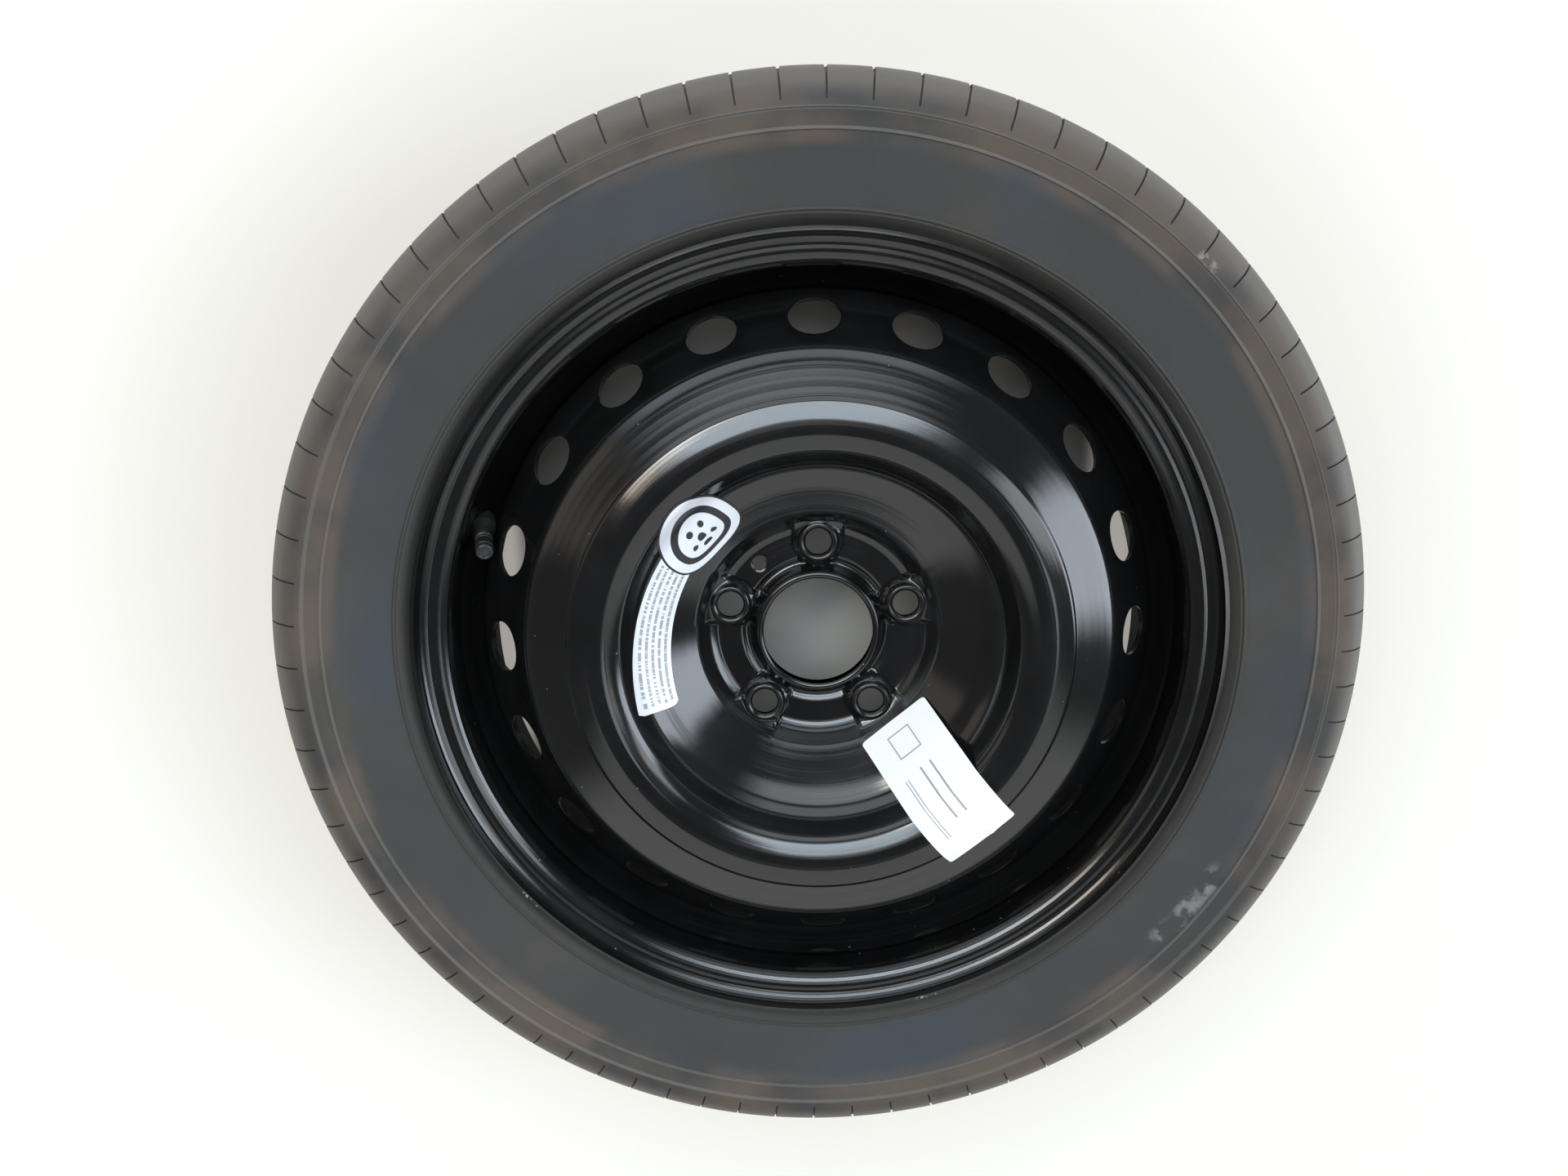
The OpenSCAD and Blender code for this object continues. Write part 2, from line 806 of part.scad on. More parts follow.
// The paper spans the bowl from the hub's edge to the crest and lies over the step
paper_x0 = hub_edge_r - 2.3;
paper_end = step_r + 6.7;
paper_lift = 2.6;
paper_near = pad_z + hub_edge_h + paper_lift;
paper_line = [
  [paper_x0, paper_near, 0],
  [wall_top_r - 2.2, wall_top_z + 1.6, 6],
  [crest_r - crest_w, crown_z + 0.1, 12],
  [crest_r + 2, crown_z + 0.1, 12],
  [step_r - step_half, crown_z - step_z + 0.3, 6],
  [paper_end, crown_z - step_z - 3.6, 0]
];
module paper_label() {
  color(white)
    rotate(paper_angle)
      rotate([90, 0, 0])
        linear_extrude(paper_w, center = true)
          polygon(concat(
            bent(paper_line, label_gap),
            reversed(bent(paper_line, label_gap + paper_t))
          ));
}

tyre();
rim();
disc();
disc_welds();
valve_rubber();
valve_tube();
core_barrel();
core_seal();
core_pin();
core_cup();
core_spring();
valve_cap();
cap_seal();
speed_label();
paper_label();
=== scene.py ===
import json
import math

import bmesh
import bpy
from mathutils import Matrix, Vector


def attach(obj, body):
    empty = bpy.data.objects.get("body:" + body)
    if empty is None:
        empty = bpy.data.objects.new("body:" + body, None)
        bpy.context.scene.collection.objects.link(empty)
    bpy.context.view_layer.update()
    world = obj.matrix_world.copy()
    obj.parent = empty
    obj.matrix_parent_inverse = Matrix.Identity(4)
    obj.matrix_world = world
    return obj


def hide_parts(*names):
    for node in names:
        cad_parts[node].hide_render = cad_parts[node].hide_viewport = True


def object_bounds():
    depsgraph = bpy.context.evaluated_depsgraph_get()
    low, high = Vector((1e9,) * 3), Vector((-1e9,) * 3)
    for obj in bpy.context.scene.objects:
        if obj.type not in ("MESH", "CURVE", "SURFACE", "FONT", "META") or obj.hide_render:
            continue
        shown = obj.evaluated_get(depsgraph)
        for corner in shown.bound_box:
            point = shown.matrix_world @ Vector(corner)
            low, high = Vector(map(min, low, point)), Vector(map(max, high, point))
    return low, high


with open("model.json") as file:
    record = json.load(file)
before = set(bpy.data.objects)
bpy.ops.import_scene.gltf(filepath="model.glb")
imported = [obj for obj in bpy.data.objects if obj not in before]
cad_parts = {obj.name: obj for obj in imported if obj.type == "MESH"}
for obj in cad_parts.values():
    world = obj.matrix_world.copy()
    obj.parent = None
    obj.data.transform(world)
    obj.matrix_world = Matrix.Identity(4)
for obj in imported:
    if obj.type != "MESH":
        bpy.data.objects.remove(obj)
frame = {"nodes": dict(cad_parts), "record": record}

cad_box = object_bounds()
nodes = frame["nodes"]
MM = 0.001


# Sizes in millimetres, as in the part's source: radius, height, bend radius
TYRE_R = 317.4
HALF_W = 72.5
SHOULDER_R = 22.0
EDGE_Z = HALF_W - SHOULDER_R
EDGE_R = TYRE_R - 1.4
STEP_RING_R = 292.9
STEP_RING_H = 0.9
THIN_RING_R = 283.3
SLOT_COUNT = 80
SLOT_STEPS = 5
SLOT_W = 2.2
SLOT_TOP_W = 1.1
SLOT_DEPTH = 2.0
SLOT_RUN = 8.0
FLANGE_R = 235.7
RIM_HALF = 50.8
CURL_R = 9.5
WALL_R0 = FLANGE_R + 6.2
WALL_Z0 = RIM_HALF + 11.8
WALL_SLOPE = (HALF_W - STEP_RING_H - WALL_Z0) / (STEP_RING_R - WALL_R0)
SEAT_R = 218.3
SHEET = 3.6
PAD_Z = 13.1
BACK_Z = 9.5
BORE_R = 33.3
PCD_R = 56.0
BOLT_R = 7.85
BOLT_COUNT = 5
BOLT_STEP = 360 / BOLT_COUNT
PIN_R = 54.1
PIN_ANGLE = 130.9
PIN_HOLE = 4.05
VENT_COUNT = 20
VENT_STEP = 360 / VENT_COUNT
VENT_TURN = 90.7
VENT_R = 188.8
VENT_HOLE = 15.0
CONE_SLOPE = 51.3
DISC_R = 203.65
CONE_FOOT_Z = 15.8
VALVE_R = 211.377
VALVE_ANGLE = 161.2
VALVE_TILT = 18.8
VALVE_LEAN = 14.4


def smooth(value, low, high):
    """Goes from 0 at low to 1 at high without a corner."""
    t = min(1.0, max(0.0, (value - low) / (high - low)))
    return t * t * (3 - 2 * t)


def moved(line, shift):
    """A line's points moved sideways to its left."""
    out = []
    for i, point in enumerate(line):
        j = max(i, 1)
        k = min(i, len(line) - 2)
        before = (Vector(line[j][:2]) - Vector(line[j - 1][:2])).normalized()
        after = (Vector(line[k + 1][:2]) - Vector(line[k][:2])).normalized()
        a = Vector((-before.y, before.x))
        b = Vector((-after.y, after.x))
        out.append(Vector(point[:2]) + (a + b) * shift / (1 + a.dot(b)))
    return out


def bent(line, shift=0.0, step=9.0):
    """A line of [radius, height, bend radius] with its corners rounded, moved sideways."""
    points = moved(line, shift)
    out = []
    for i, (point, spec) in enumerate(zip(points, line)):
        if spec[2] == 0:
            out.append(point.copy())
            continue
        u = (points[i - 1] - point).normalized()
        v = (points[i + 1] - point).normalized()
        raw_in = Vector(line[i][:2]) - Vector(line[i - 1][:2])
        raw_out = Vector(line[i + 1][:2]) - Vector(line[i][:2])
        side = math.copysign(1, raw_in.x * raw_out.y - raw_in.y * raw_out.x)
        radius = max(0.6, spec[2] - side * shift)
        half = math.acos(max(-1, min(1, u.dot(v)))) / 2
        middle = point + (u + v).normalized() * radius / math.sin(half)
        p = point + u * radius / math.tan(half) - middle
        q = point + v * radius / math.tan(half) - middle
        start = math.atan2(p.y, p.x)
        sweep = (math.atan2(q.y, q.x) - start + 3 * math.pi) % (2 * math.pi) - math.pi
        count = max(2, math.ceil(abs(math.degrees(sweep)) / step))
        for n in range(count + 1):
            angle = start + sweep * n / count
            out.append(middle + Vector((math.cos(angle), math.sin(angle))) * radius)
    return out


def height_on(points, radius):
    """Height of a rounded line at a radius."""
    for a, b in zip(points, points[1:]):
        if a[0] <= radius <= b[0]:
            t = (radius - a[0]) / max(1e-9, b[0] - a[0])
            return a[1] + (b[1] - a[1]) * t
    return points[0][1] if radius < points[0][0] else points[-1][1]


# Mesh helpers

def finished(name, bm, body, source, sharp=38.0):
    """Turns a bmesh in millimetres into a smooth-shaded piece in place of a CAD node."""
    bmesh.ops.scale(bm, vec=(MM, MM, MM), verts=bm.verts)
    mesh = bpy.data.meshes.new(name)
    bm.to_mesh(mesh)
    bm.free()
    mesh.shade_smooth()
    mesh.set_sharp_from_angle(angle=math.radians(sharp))
    piece = bpy.data.objects.new(name, mesh)
    bpy.context.scene.collection.objects.link(piece)
    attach(piece, body)
    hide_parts(source)
    return piece


def chain(bm, points, closed):
    """A row of vertices in the XZ plane joined by edges."""
    verts = [bm.verts.new((p[0], 0, p[1])) for p in points]
    edges = [bm.edges.new(pair) for pair in zip(verts, verts[1:])]
    if closed:
        edges.append(bm.edges.new((verts[-1], verts[0])))
    return verts, edges


def spin_up(bm, points, steps, closed):
    """Spins an outline once round the axle."""
    verts, edges = chain(bm, points, closed)
    bmesh.ops.spin(bm, geom=verts + edges, cent=(0, 0, 0), axis=(0, 0, 1), dvec=(0, 0, 0),
        angle=2 * math.pi, steps=steps, use_merge=True)
    bmesh.ops.remove_doubles(bm, verts=bm.verts, dist=0.0005)
    bmesh.ops.recalc_face_normals(bm, faces=bm.faces)


def polar_of(point):
    return math.hypot(point.x, point.y), math.degrees(math.atan2(point.y, point.x))


# Tyre

def tread_at(z):
    return TYRE_R - 1.4 * (z / EDGE_Z) ** 2


def side_at(r):
    return WALL_Z0 + (r - WALL_R0) * WALL_SLOPE


def thin_ring(r, width=1.2, height=0.8):
    return [
        (r + width, side_at(r + width)),
        (r + width * 0.55, side_at(r) + height * 0.85),
        (r, side_at(r) + height),
        (r - width * 0.55, side_at(r) + height * 0.85),
        (r - width, side_at(r - width)),
    ]


def groove(z):
    return [
        (tread_at(z - 3.0), z - 3.0),
        (tread_at(z) - 3.6, z - 2.2),
        (tread_at(z) - 4.0, z - 1.6),
        (tread_at(z) - 4.0, z + 1.6),
        (tread_at(z) - 3.6, z + 2.2),
        (tread_at(z + 3.0), z + 3.0),
    ]


def tyre_half():
    """The tyre's upper half as [radius, height], from the tread's middle round to the liner."""
    centre = (EDGE_R - SHOULDER_R, EDGE_Z)
    curl = (FLANGE_R - CURL_R, RIM_HALF + CURL_R)
    line = [p for p in groove(0) if p[1] > 0]
    line += [(tread_at(12.5), 12.5)]
    line += groove(25)
    line += [(tread_at(35.0), 35.0), (tread_at(EDGE_Z - SLOT_RUN), EDGE_Z - SLOT_RUN)]
    for i in range(13):
        a = math.radians(7.5 * i)
        line.append((centre[0] + SHOULDER_R * math.cos(a), centre[1] + SHOULDER_R * math.sin(a)))
    line += [(STEP_RING_R + 0.5, HALF_W), (STEP_RING_R + 0.1, HALF_W - 0.35)]
    line += [(STEP_RING_R - 0.4, side_at(STEP_RING_R - 0.4))]
    line += [(STEP_RING_R - 4.5, side_at(STEP_RING_R - 4.5))]
    line += thin_ring(THIN_RING_R)
    line += [(r, side_at(r)) for r in (272.0, 262.0, 253.0)]
    line += thin_ring(WALL_R0 + 2.4)
    line += [(WALL_R0, WALL_Z0)]
    for i in (3, 4, 5):
        a = math.radians(-15 * i)
        line.append((curl[0] + (CURL_R + 0.15) * math.cos(a), curl[1] + (CURL_R + 0.15) * math.sin(a)))
    line += [tuple(p) for p in bent([
        (curl[0], RIM_HALF - 0.15, 0),
        (SEAT_R + 0.15, RIM_HALF - 0.15, 6.35),
        (SEAT_R - 1.34, RIM_HALF - 17, 0),
    ])]
    line += [tuple(p) for p in bent([
        (SEAT_R - 1.34, RIM_HALF - 17, 0),
        (SEAT_R + 3, RIM_HALF - 18.5, 1.5),
        (SEAT_R + 16, RIM_HALF - 7, 12),
        (FLANGE_R + 12, side_at(FLANGE_R + 12) - 7.5, 30),
        (THIN_RING_R, side_at(THIN_RING_R) - 6, 60),
        (TYRE_R - 12, HALF_W - 6.6, 17),
        (TYRE_R - 12, 0, 0),
    ], step=14)][1:]
    return line


def slot_angle(i):
    """Angle of a shoulder slot; the spacing swings a little round the tyre."""
    a = math.radians(360 * i / SLOT_COUNT)
    swing = 0.8 * math.sin(a - math.radians(162))
    swing += 0.5 * math.sin(2 * a + math.radians(132))
    swing += math.sin(3 * a - math.radians(161))
    return 4.5 + math.degrees(a) + 1.15 * swing


def up_shoulder(r, z):
    """Degrees up the shoulder's arc, from the tread's edge."""
    return math.degrees(math.atan2(max(0.0, abs(z) - EDGE_Z), r - EDGE_R + SHOULDER_R))


def slotted_angle(step, climb):
    """Angle of the spin's step: a slot's two sides are the first two steps of each pitch."""
    i = int(step // SLOT_STEPS)
    k = step - SLOT_STEPS * i
    here = slot_angle(i)
    there = slot_angle(i + 1)
    width = SLOT_W + (SLOT_TOP_W - SLOT_W) * smooth(climb, 4, 48)
    half = math.degrees(width / 2 / EDGE_R)
    if k < 1:
        return here + half * (2 * k - 1)
    return here + half + (there - here - 2 * half) * (k - 1) / (SLOT_STEPS - 1)


def make_tyre():
    half = tyre_half()
    outline = half + [(r, -z) for r, z in reversed(half) if z > 0]
    bm = bmesh.new()
    steps = SLOT_COUNT * SLOT_STEPS
    spin_up(bm, outline, steps, True)
    centre = (EDGE_R - SHOULDER_R, EDGE_Z)
    slots = []
    for face in bm.faces:
        middle = face.calc_center_median()
        r, angle = polar_of(middle)
        index = int((angle % 360) / 360 * steps)
        reach = math.hypot(r - centre[0], max(0.0, abs(middle.z) - centre[1]))
        on_shoulder = abs(middle.z) > EDGE_Z - SLOT_RUN and r > centre[0] + 2.5
        if index % SLOT_STEPS == 0 and on_shoulder and reach > SHOULDER_R - 1.5:
            slots.append(face)
    bmesh.ops.inset_region(bm, faces=slots, thickness=0.02, depth=-SLOT_DEPTH,
        use_boundary=True, use_even_offset=False)
    # The slot layer marks the slots' floors, which the tyre's material paints near black as painted
    # shade.
    slot_shade_mask = bm.verts.layers.float.new("slot")
    for vert in bm.verts:
        r, angle = polar_of(vert.co)
        climb = up_shoulder(r, vert.co.z)
        step = (angle % 360) / 360 * steps
        reach = math.hypot(r - centre[0], max(0.0, abs(vert.co.z) - centre[1]))
        if SHOULDER_R - SLOT_DEPTH - 0.5 < reach < SHOULDER_R - 0.5 and r > centre[0] + 1:
            vert[slot_shade_mask] = 1.0
            raised = 1 + 0.5 * smooth(climb, 8, 60) * SLOT_DEPTH / reach
            r = centre[0] + (r - centre[0]) * raised
            if climb > 0:
                vert.co.z += (abs(vert.co.z) - centre[1]) * (raised - 1) * math.copysign(1, vert.co.z)
        turned = math.radians(slotted_angle(step, climb))
        vert.co.x = r * math.cos(turned)
        vert.co.y = r * math.sin(turned)
    return finished("narrow_tyre", bm, "wheel", "tyre", sharp=32)


# Disc

DISC_LINE = [
    (66.2, 14.6, 0),
    (73.5, 25.3, 3.6),
    (95.0, 41.0, 50),
    (107.6, 47.6, 20),
    (116.2, 67.2, 9),
    (126.5, 70.7, 12),
    (134.5, 71.0, 12),
    (144.6, 68.9, 3),
    (146.8, 66.9, 3),
    (170.0, 57.8, 20),
    (DISC_R, CONE_FOOT_Z, 8),
    (DISC_R, -8.0, 0),
]
DISC_TOP = bent(DISC_LINE)
PAD_LINE = bent([
    (BORE_R, 19.4, 0),
    (BORE_R + 1.0, 20.9, 1.2),
    (37.0, 21.1, 1.8),
    (41.0, 12.3, 1.6),
    (42.6, 11.5, 1.5),
    (43.8, 11.5, 1.5),
    (46.4, PAD_Z, 2.5),
    (61.6, PAD_Z, 4.0),
    (66.0, 15.5, 5.0),
    (73.5, 25.3, 3.6),
    (84.0, 32.97, 0),
])
ISLAND_LINE = bent([
    (BORE_R, 19.4, 0),
    (BORE_R + 1.0, 20.9, 1.2),
    (37.0, 21.1, 1.8),
    (41.0, 12.3, 1.6),
    (42.8, 11.9, 1.0),
    (45.0, 17.2, 1.6),
    (65.2, 17.6, 3.0),
    (69.0, 19.6, 3.0),
    (74.8, 26.4, 2.4),
    (84.0, 32.97, 0),
])
RING_LINE = [(7.85, 18.3), (8.2, 18.9), (9.0, 19.8), (9.7, 20.4), (10.4, 20.6), (11.1, 20.3),
    (12.0, 19.0), (12.8, 17.9), (13.6, 17.3), (16.0, 15.0), (20.0, 10.0)]


def boss_offset(angle):
    """Degrees from the nearest bolt hole."""
    return (angle - 90 + BOLT_STEP / 2) % BOLT_STEP - BOLT_STEP / 2


def hub_height(x, y):
    """Height of the hub's street side."""
    r = math.hypot(x, y)
    offset = boss_offset(math.degrees(math.atan2(y, x)))
    side = math.radians(abs(offset) - 13.4) * r
    on_island = 1 - smooth(side, -1.7, 1.7)
    height = height_on(PAD_LINE, r)
    if on_island > 0 and r > 41:
        height += (height_on(ISLAND_LINE, r) - height) * on_island
    bolt = math.radians(offset)
    reach = math.hypot(r * math.cos(bolt) - PCD_R, r * math.sin(bolt))
    if reach < 16:
        ring = height_on(RING_LINE, reach)
        gap = (height - ring) / 1.4
        if reach < 10.4:
            height = ring
        elif abs(gap) < 1:
            height = max(height, ring) + 0.35 * (1 - abs(gap)) ** 2
        else:
            height = max(height, ring)
    return height


def hub_back(x, y):
    """Height of the hub's brake side: flat, with hollows under the bosses."""
    r = math.hypot(x, y)
    offset = boss_offset(math.degrees(math.atan2(y, x)))
    bolt = math.radians(offset)
    reach = math.hypot(r * math.cos(bolt) - PCD_R, r * math.sin(bolt))
    hollow = 4.6 * (1 - smooth(reach, 8.5, 12.5))
    outer = height_on(PAD_LINE, r) - SHEET * 1.15
    return max(BACK_Z + hollow, outer if r > 62 else BACK_Z)


def walked(verts):
    """The vertices of a closed loop in order."""
    inside = set(verts)
    loop = [verts[0]]
    while len(loop) < len(verts):
        for edge in loop[-1].link_edges:
            other = edge.other_vert(loop[-1])
            if other in inside and other not in loop[-2:]:
                loop.append(other)
                break
    return loop


def patch(bm, centre, hole, reaches, rings, edge):
    """A sheet with a round hole: rings round the hole, then on to the points of its edge."""
    made = bmesh.ops.create_circle(bm, segments=len(edge), radius=hole)
    loop = walked(made["verts"])
    ways = [(point - centre).normalized() for point in edge]
    for vert, way in zip(loop, ways):
        vert.co = Vector((*(centre + way * hole), 0))
    edges = [bm.edges.get((a, b)) for a, b in zip(loop, loop[1:] + loop[:1])]
    targets = [[centre + way * reach for way in ways] for reach in reaches]
    last = reaches[-1] if reaches else hole
    for n in range(1, rings + 1):
        t = n / rings
        row = []
        for way, point in zip(ways, edge):
            start = centre + way * last
            row.append(start + (point - start) * t)
        targets.append(row)
    for row in targets:
        grown = bmesh.ops.extrude_edge_only(bm, edges=edges)["geom"]
        fresh = [g for g in grown if isinstance(g, bmesh.types.BMVert)]
        after = {}
        for vert in fresh:
            for e in vert.link_edges:
                other = e.other_vert(vert)
                if other in loop:
                    after[other] = vert
        loop = [after[v] for v in loop]
        for vert, point in zip(loop, row):
            vert.co = Vector((point.x, point.y, 0))
        edges = [bm.edges.get((a, b)) for a, b in zip(loop, loop[1:] + loop[:1])]


def sector_edge(low, high, start, end, long_side, short_side):
    """Points round a sector between two radii and two angles, in order."""
    corners = []
    for n in range(long_side):
        corners.append((high, start + (end - start) * n / long_side))
    for n in range(short_side):
        corners.append((high + (low - high) * n / short_side, end))
    for n in range(long_side):
        corners.append((low, end + (start - end) * n / long_side))
    for n in range(short_side):
        corners.append((low + (high - low) * n / short_side, start))
    return [Vector((r * math.cos(math.radians(a)), r * math.sin(math.radians(a)))) for r, a in corners]


def flat_sector(bm, low, high, start, end, long_side, short_side):
    """A plain sector, as a grid bent round the axle."""
    made = bmesh.ops.create_grid(bm, x_segments=long_side, y_segments=short_side, size=0.5)
    for vert in made["verts"]:
        r = low + (high - low) * (vert.co.y + 0.5)
        a = math.radians(start + (end - start) * (vert.co.x + 0.5))
        vert.co = Vector((r * math.cos(a), r * math.sin(a), 0))


HUB_IN = 42.0
HUB_OUT = 70.5
HUB_END = 80.0


def make_hub(bm):
    """Collar, bolt bosses, pads and the wall round them."""
    near = [BORE_R, 33.6, 34.2, 35.2, 36.2, 37.0, 37.7, 38.4, 39.1, 39.8, 40.6, 41.3, HUB_IN]
    far = [HUB_OUT, 71.6, 72.4, 73.2, 74.0, 74.8, 75.8, 77.0, 78.4, HUB_END]
    spin_up(bm, [(r, 0) for r in near], 360, False)
    spin_up(bm, [(r, 0) for r in far], 360, False)
    reaches = [8.1, 8.5, 9.0, 9.6, 10.4, 11.0, 11.6, 12.2]
    turn = math.radians(PIN_ANGLE)
    pin = Vector((PIN_R * math.cos(turn), PIN_R * math.sin(turn)))
    half = BOLT_STEP / 4
    for i in range(BOLT_COUNT):
        a = 90 + BOLT_STEP * i
        bolt = Vector((PCD_R * math.cos(math.radians(a)), PCD_R * math.sin(math.radians(a))))
        patch(bm, bolt, BOLT_R, reaches, 11, sector_edge(HUB_IN, HUB_OUT, a - half, a + half, 36, 18))
        if i == 0:
            edge = sector_edge(HUB_IN, HUB_OUT, a + half, a + 3 * half, 36, 18)
            patch(bm, pin, PIN_HOLE, [4.3, 4.8], 11, edge)
        else:
            flat_sector(bm, HUB_IN, HUB_OUT, a + half, a + 3 * half, 36, 18)
    for vert in bm.verts:
        vert.co.z = hub_height(vert.co.x, vert.co.y)
        r = math.hypot(vert.co.x, vert.co.y)
        a = math.degrees(math.atan2(vert.co.y, vert.co.x))
        if abs(a - PIN_ANGLE) < 5.5 and 49 < r < 59:
            reach = math.hypot(vert.co.x - pin.x, vert.co.y - pin.y)
            vert.co.z -= 0.35 * (1 - smooth(reach, 4.0, 4.8))


def cone_z(r):
    return CONE_FOOT_Z + (DISC_R - r) * math.tan(math.radians(CONE_SLOPE))


def make_vents(bm, low, high):
    """Patches of the sloping band with a round vent hole each."""
    k = math.cos(math.radians(CONE_SLOPE))
    before = set(bm.verts)
    centre = Vector((VENT_R / k, 0))
    half = VENT_STEP / 2 * k
    corners = sector_edge(low / k, high / k, -half, half, 18, 6)
    patch(bm, centre, VENT_HOLE, [VENT_HOLE + 0.25, VENT_HOLE + 0.7, VENT_HOLE + 1.5], 3, corners)
    fresh = [v for v in bm.verts if v not in before]
    for vert in fresh:
        away = math.hypot(vert.co.x, vert.co.y)
        turn = math.atan2(vert.co.y, vert.co.x) / k
        reach = math.hypot(vert.co.x - centre.x, vert.co.y)
        r = away * k
        sink = 0.5 * (1 - smooth(reach, VENT_HOLE - 0.2, VENT_HOLE + 0.9))
        z = cone_z(r) - sink * k
        r -= sink * math.sin(math.radians(CONE_SLOPE))
        vert.co = Vector((r * math.cos(turn), r * math.sin(turn), z))
    fresh_faces = [f for f in bm.faces if all(v not in before for v in f.verts)]
    first = math.radians(VENT_TURN)
    for i in range(1, VENT_COUNT):
        copy = bmesh.ops.duplicate(bm, geom=fresh + fresh_faces)["geom"]
        verts = [g for g in copy if isinstance(g, bmesh.types.BMVert)]
        bmesh.ops.rotate(bm, verts=verts, cent=(0, 0, 0),
            matrix=Matrix.Rotation(first + math.radians(VENT_STEP * i), 3, "Z"))
    bmesh.ops.rotate(bm, verts=fresh, cent=(0, 0, 0), matrix=Matrix.Rotation(first, 3, "Z"))


def make_disc():
    """One sheet: the hub, the turned rings, the band of holes, then its thickness."""
    bm = bmesh.new()
    make_hub(bm)
    body = [p for p in DISC_TOP if p.x > HUB_END + 1]
    start = height_on(PAD_LINE, HUB_END)
    brow = [p for p in body if p.x < 173.6]
    foot = [p for p in body if p.x > 201.5]
    rings = bmesh.new()
    spin_up(rings, [Vector((HUB_END, start))] + brow, 360, False)
    spin_up(rings, foot, 360, False)
    cone = bmesh.new()
    make_vents(cone, brow[-1].x, foot[0].x)
    bmesh.ops.rotate(cone, verts=cone.verts, cent=(0, 0, 0),
        matrix=Matrix.Rotation(math.radians(0.3), 3, "Z"))
    for part in (rings, cone):
        store = bpy.data.meshes.new("part")
        part.to_mesh(store)
        part.free()
        bm.from_mesh(store)
        bpy.data.meshes.remove(store)
    bmesh.ops.remove_doubles(bm, verts=bm.verts, dist=0.02)
    bmesh.ops.recalc_face_normals(bm, faces=bm.faces)
    up = sum(f.normal.z * f.calc_area() for f in bm.faces)
    if up < 0:
        bmesh.ops.reverse_faces(bm, faces=bm.faces)
    street = set(bm.verts)
    bmesh.ops.solidify(bm, geom=bm.faces[:], thickness=SHEET)
    for vert in bm.verts:
        if vert in street:
            continue
        r = math.hypot(vert.co.x, vert.co.y)
        if r < 76:
            t = smooth(r, 68, 76)
            vert.co.z = hub_back(vert.co.x, vert.co.y) * (1 - t) + vert.co.z * t
    return finished("pressed_disc", bm, "wheel", "disc", sharp=50)


# Labels

FILM_TOP = bent(DISC_LINE, 0.3)
BADGE_R = 100.4
BADGE_ANGLE = 137.0
BADGE_MIDDLE = -7.0
BADGE_OUT = 25.0
BADGE_IN = 13.7
BADGE_HALF = 25.4
TAIL_START = 147.0
TAIL_STOP = 204.3


def print_layer(bm, faces, shift):
    """Copies the flat x and y of the vertices into a UV layer."""
    layer = bm.loops.layers.uv.get("print") or bm.loops.layers.uv.new("print")
    for face in faces:
        for loop in face.loops:
            loop[layer].uv = (loop.vert.co.x + shift, loop.vert.co.y)


def badge_place(reach, turn):
    """Place on the oval badge, whose side towards the hub is nearly straight."""
    c = math.cos(turn)
    s = math.sin(turn)
    if c > 0:
        out = BADGE_OUT * c
        along = BADGE_HALF * s - 5 * c * c
    else:
        out = -BADGE_IN * abs(c) ** 0.67
        along = BADGE_HALF * math.copysign(abs(s) ** 0.67, s)
    a = math.radians(BADGE_ANGLE)
    r = BADGE_R + BADGE_MIDDLE + out * reach
    return r * math.cos(a) - along * reach * math.sin(a), r * math.sin(a) + along * reach * math.cos(a)


def tail_place(across, run):
    """Place on the badge's tail, which follows the bowl and drifts outwards."""
    inner = 86.3 + 6.0 * run ** 2
    outer = 105.5 + 7.5 * run ** 1.5
    corner = 1.1 * smooth(abs(across - 0.5), 0.38, 0.5)
    stop = TAIL_STOP - 3.4 * across ** 2 - corner
    a = math.radians(TAIL_START + (stop - TAIL_START) * run)
    r = inner + (outer - inner) * across
    return r * math.cos(a), r * math.sin(a)


def make_film_label():
    bm = bmesh.new()
    verts, edges = chain(bm, [(n / 14, 0) for n in range(15)], False)
    bmesh.ops.spin(bm, geom=verts + edges, cent=(0, 0, 0), axis=(0, 0, 1), dvec=(0, 0, 0),
        angle=2 * math.pi, steps=96, use_merge=True)
    bmesh.ops.remove_doubles(bm, verts=bm.verts, dist=0.0005)
    badge = bm.verts[:]
    print_layer(bm, bm.faces[:], 0)
    made = bmesh.ops.create_grid(bm, x_segments=60, y_segments=12, size=0.5)
    tail = made["verts"]
    print_layer(bm, {f for v in tail for f in v.link_faces}, 3)
    for vert in badge:
        reach = math.hypot(vert.co.x, vert.co.y)
        x, y = badge_place(reach * 1.04, math.atan2(vert.co.y, vert.co.x))
        vert.co = Vector((x, y, height_on(FILM_TOP, math.hypot(x, y))))
    for vert in tail:
        x, y = tail_place(vert.co.y + 0.5, vert.co.x + 0.5)
        vert.co = Vector((x, y, height_on(FILM_TOP, math.hypot(x, y)) - 0.08))
    bmesh.ops.recalc_face_normals(bm, faces=bm.faces)
    for group in (badge, tail):
        faces = list({f for v in group for f in v.link_faces})
        if sum(f.normal.z for f in faces) < 0:
            bmesh.ops.reverse_faces(bm, faces=faces)
    bmesh.ops.solidify(bm, geom=bm.faces[:], thickness=0.12)
    return finished("film_label", bm, "wheel", "speed_label")


PAPER_ANGLE = -50.3
PAPER_W = 48.8
PAPER_LINE = bent([
    (71.2, 28.1, 0),
    (92.0, 48.6, 60),
    (113.6, 69.0, 9),
    (126.5, 71.5, 14),
    (136.5, 71.5, 14),
    (144.4, 69.9, 8),
    (152.4, 65.7, 0),
], step=4)


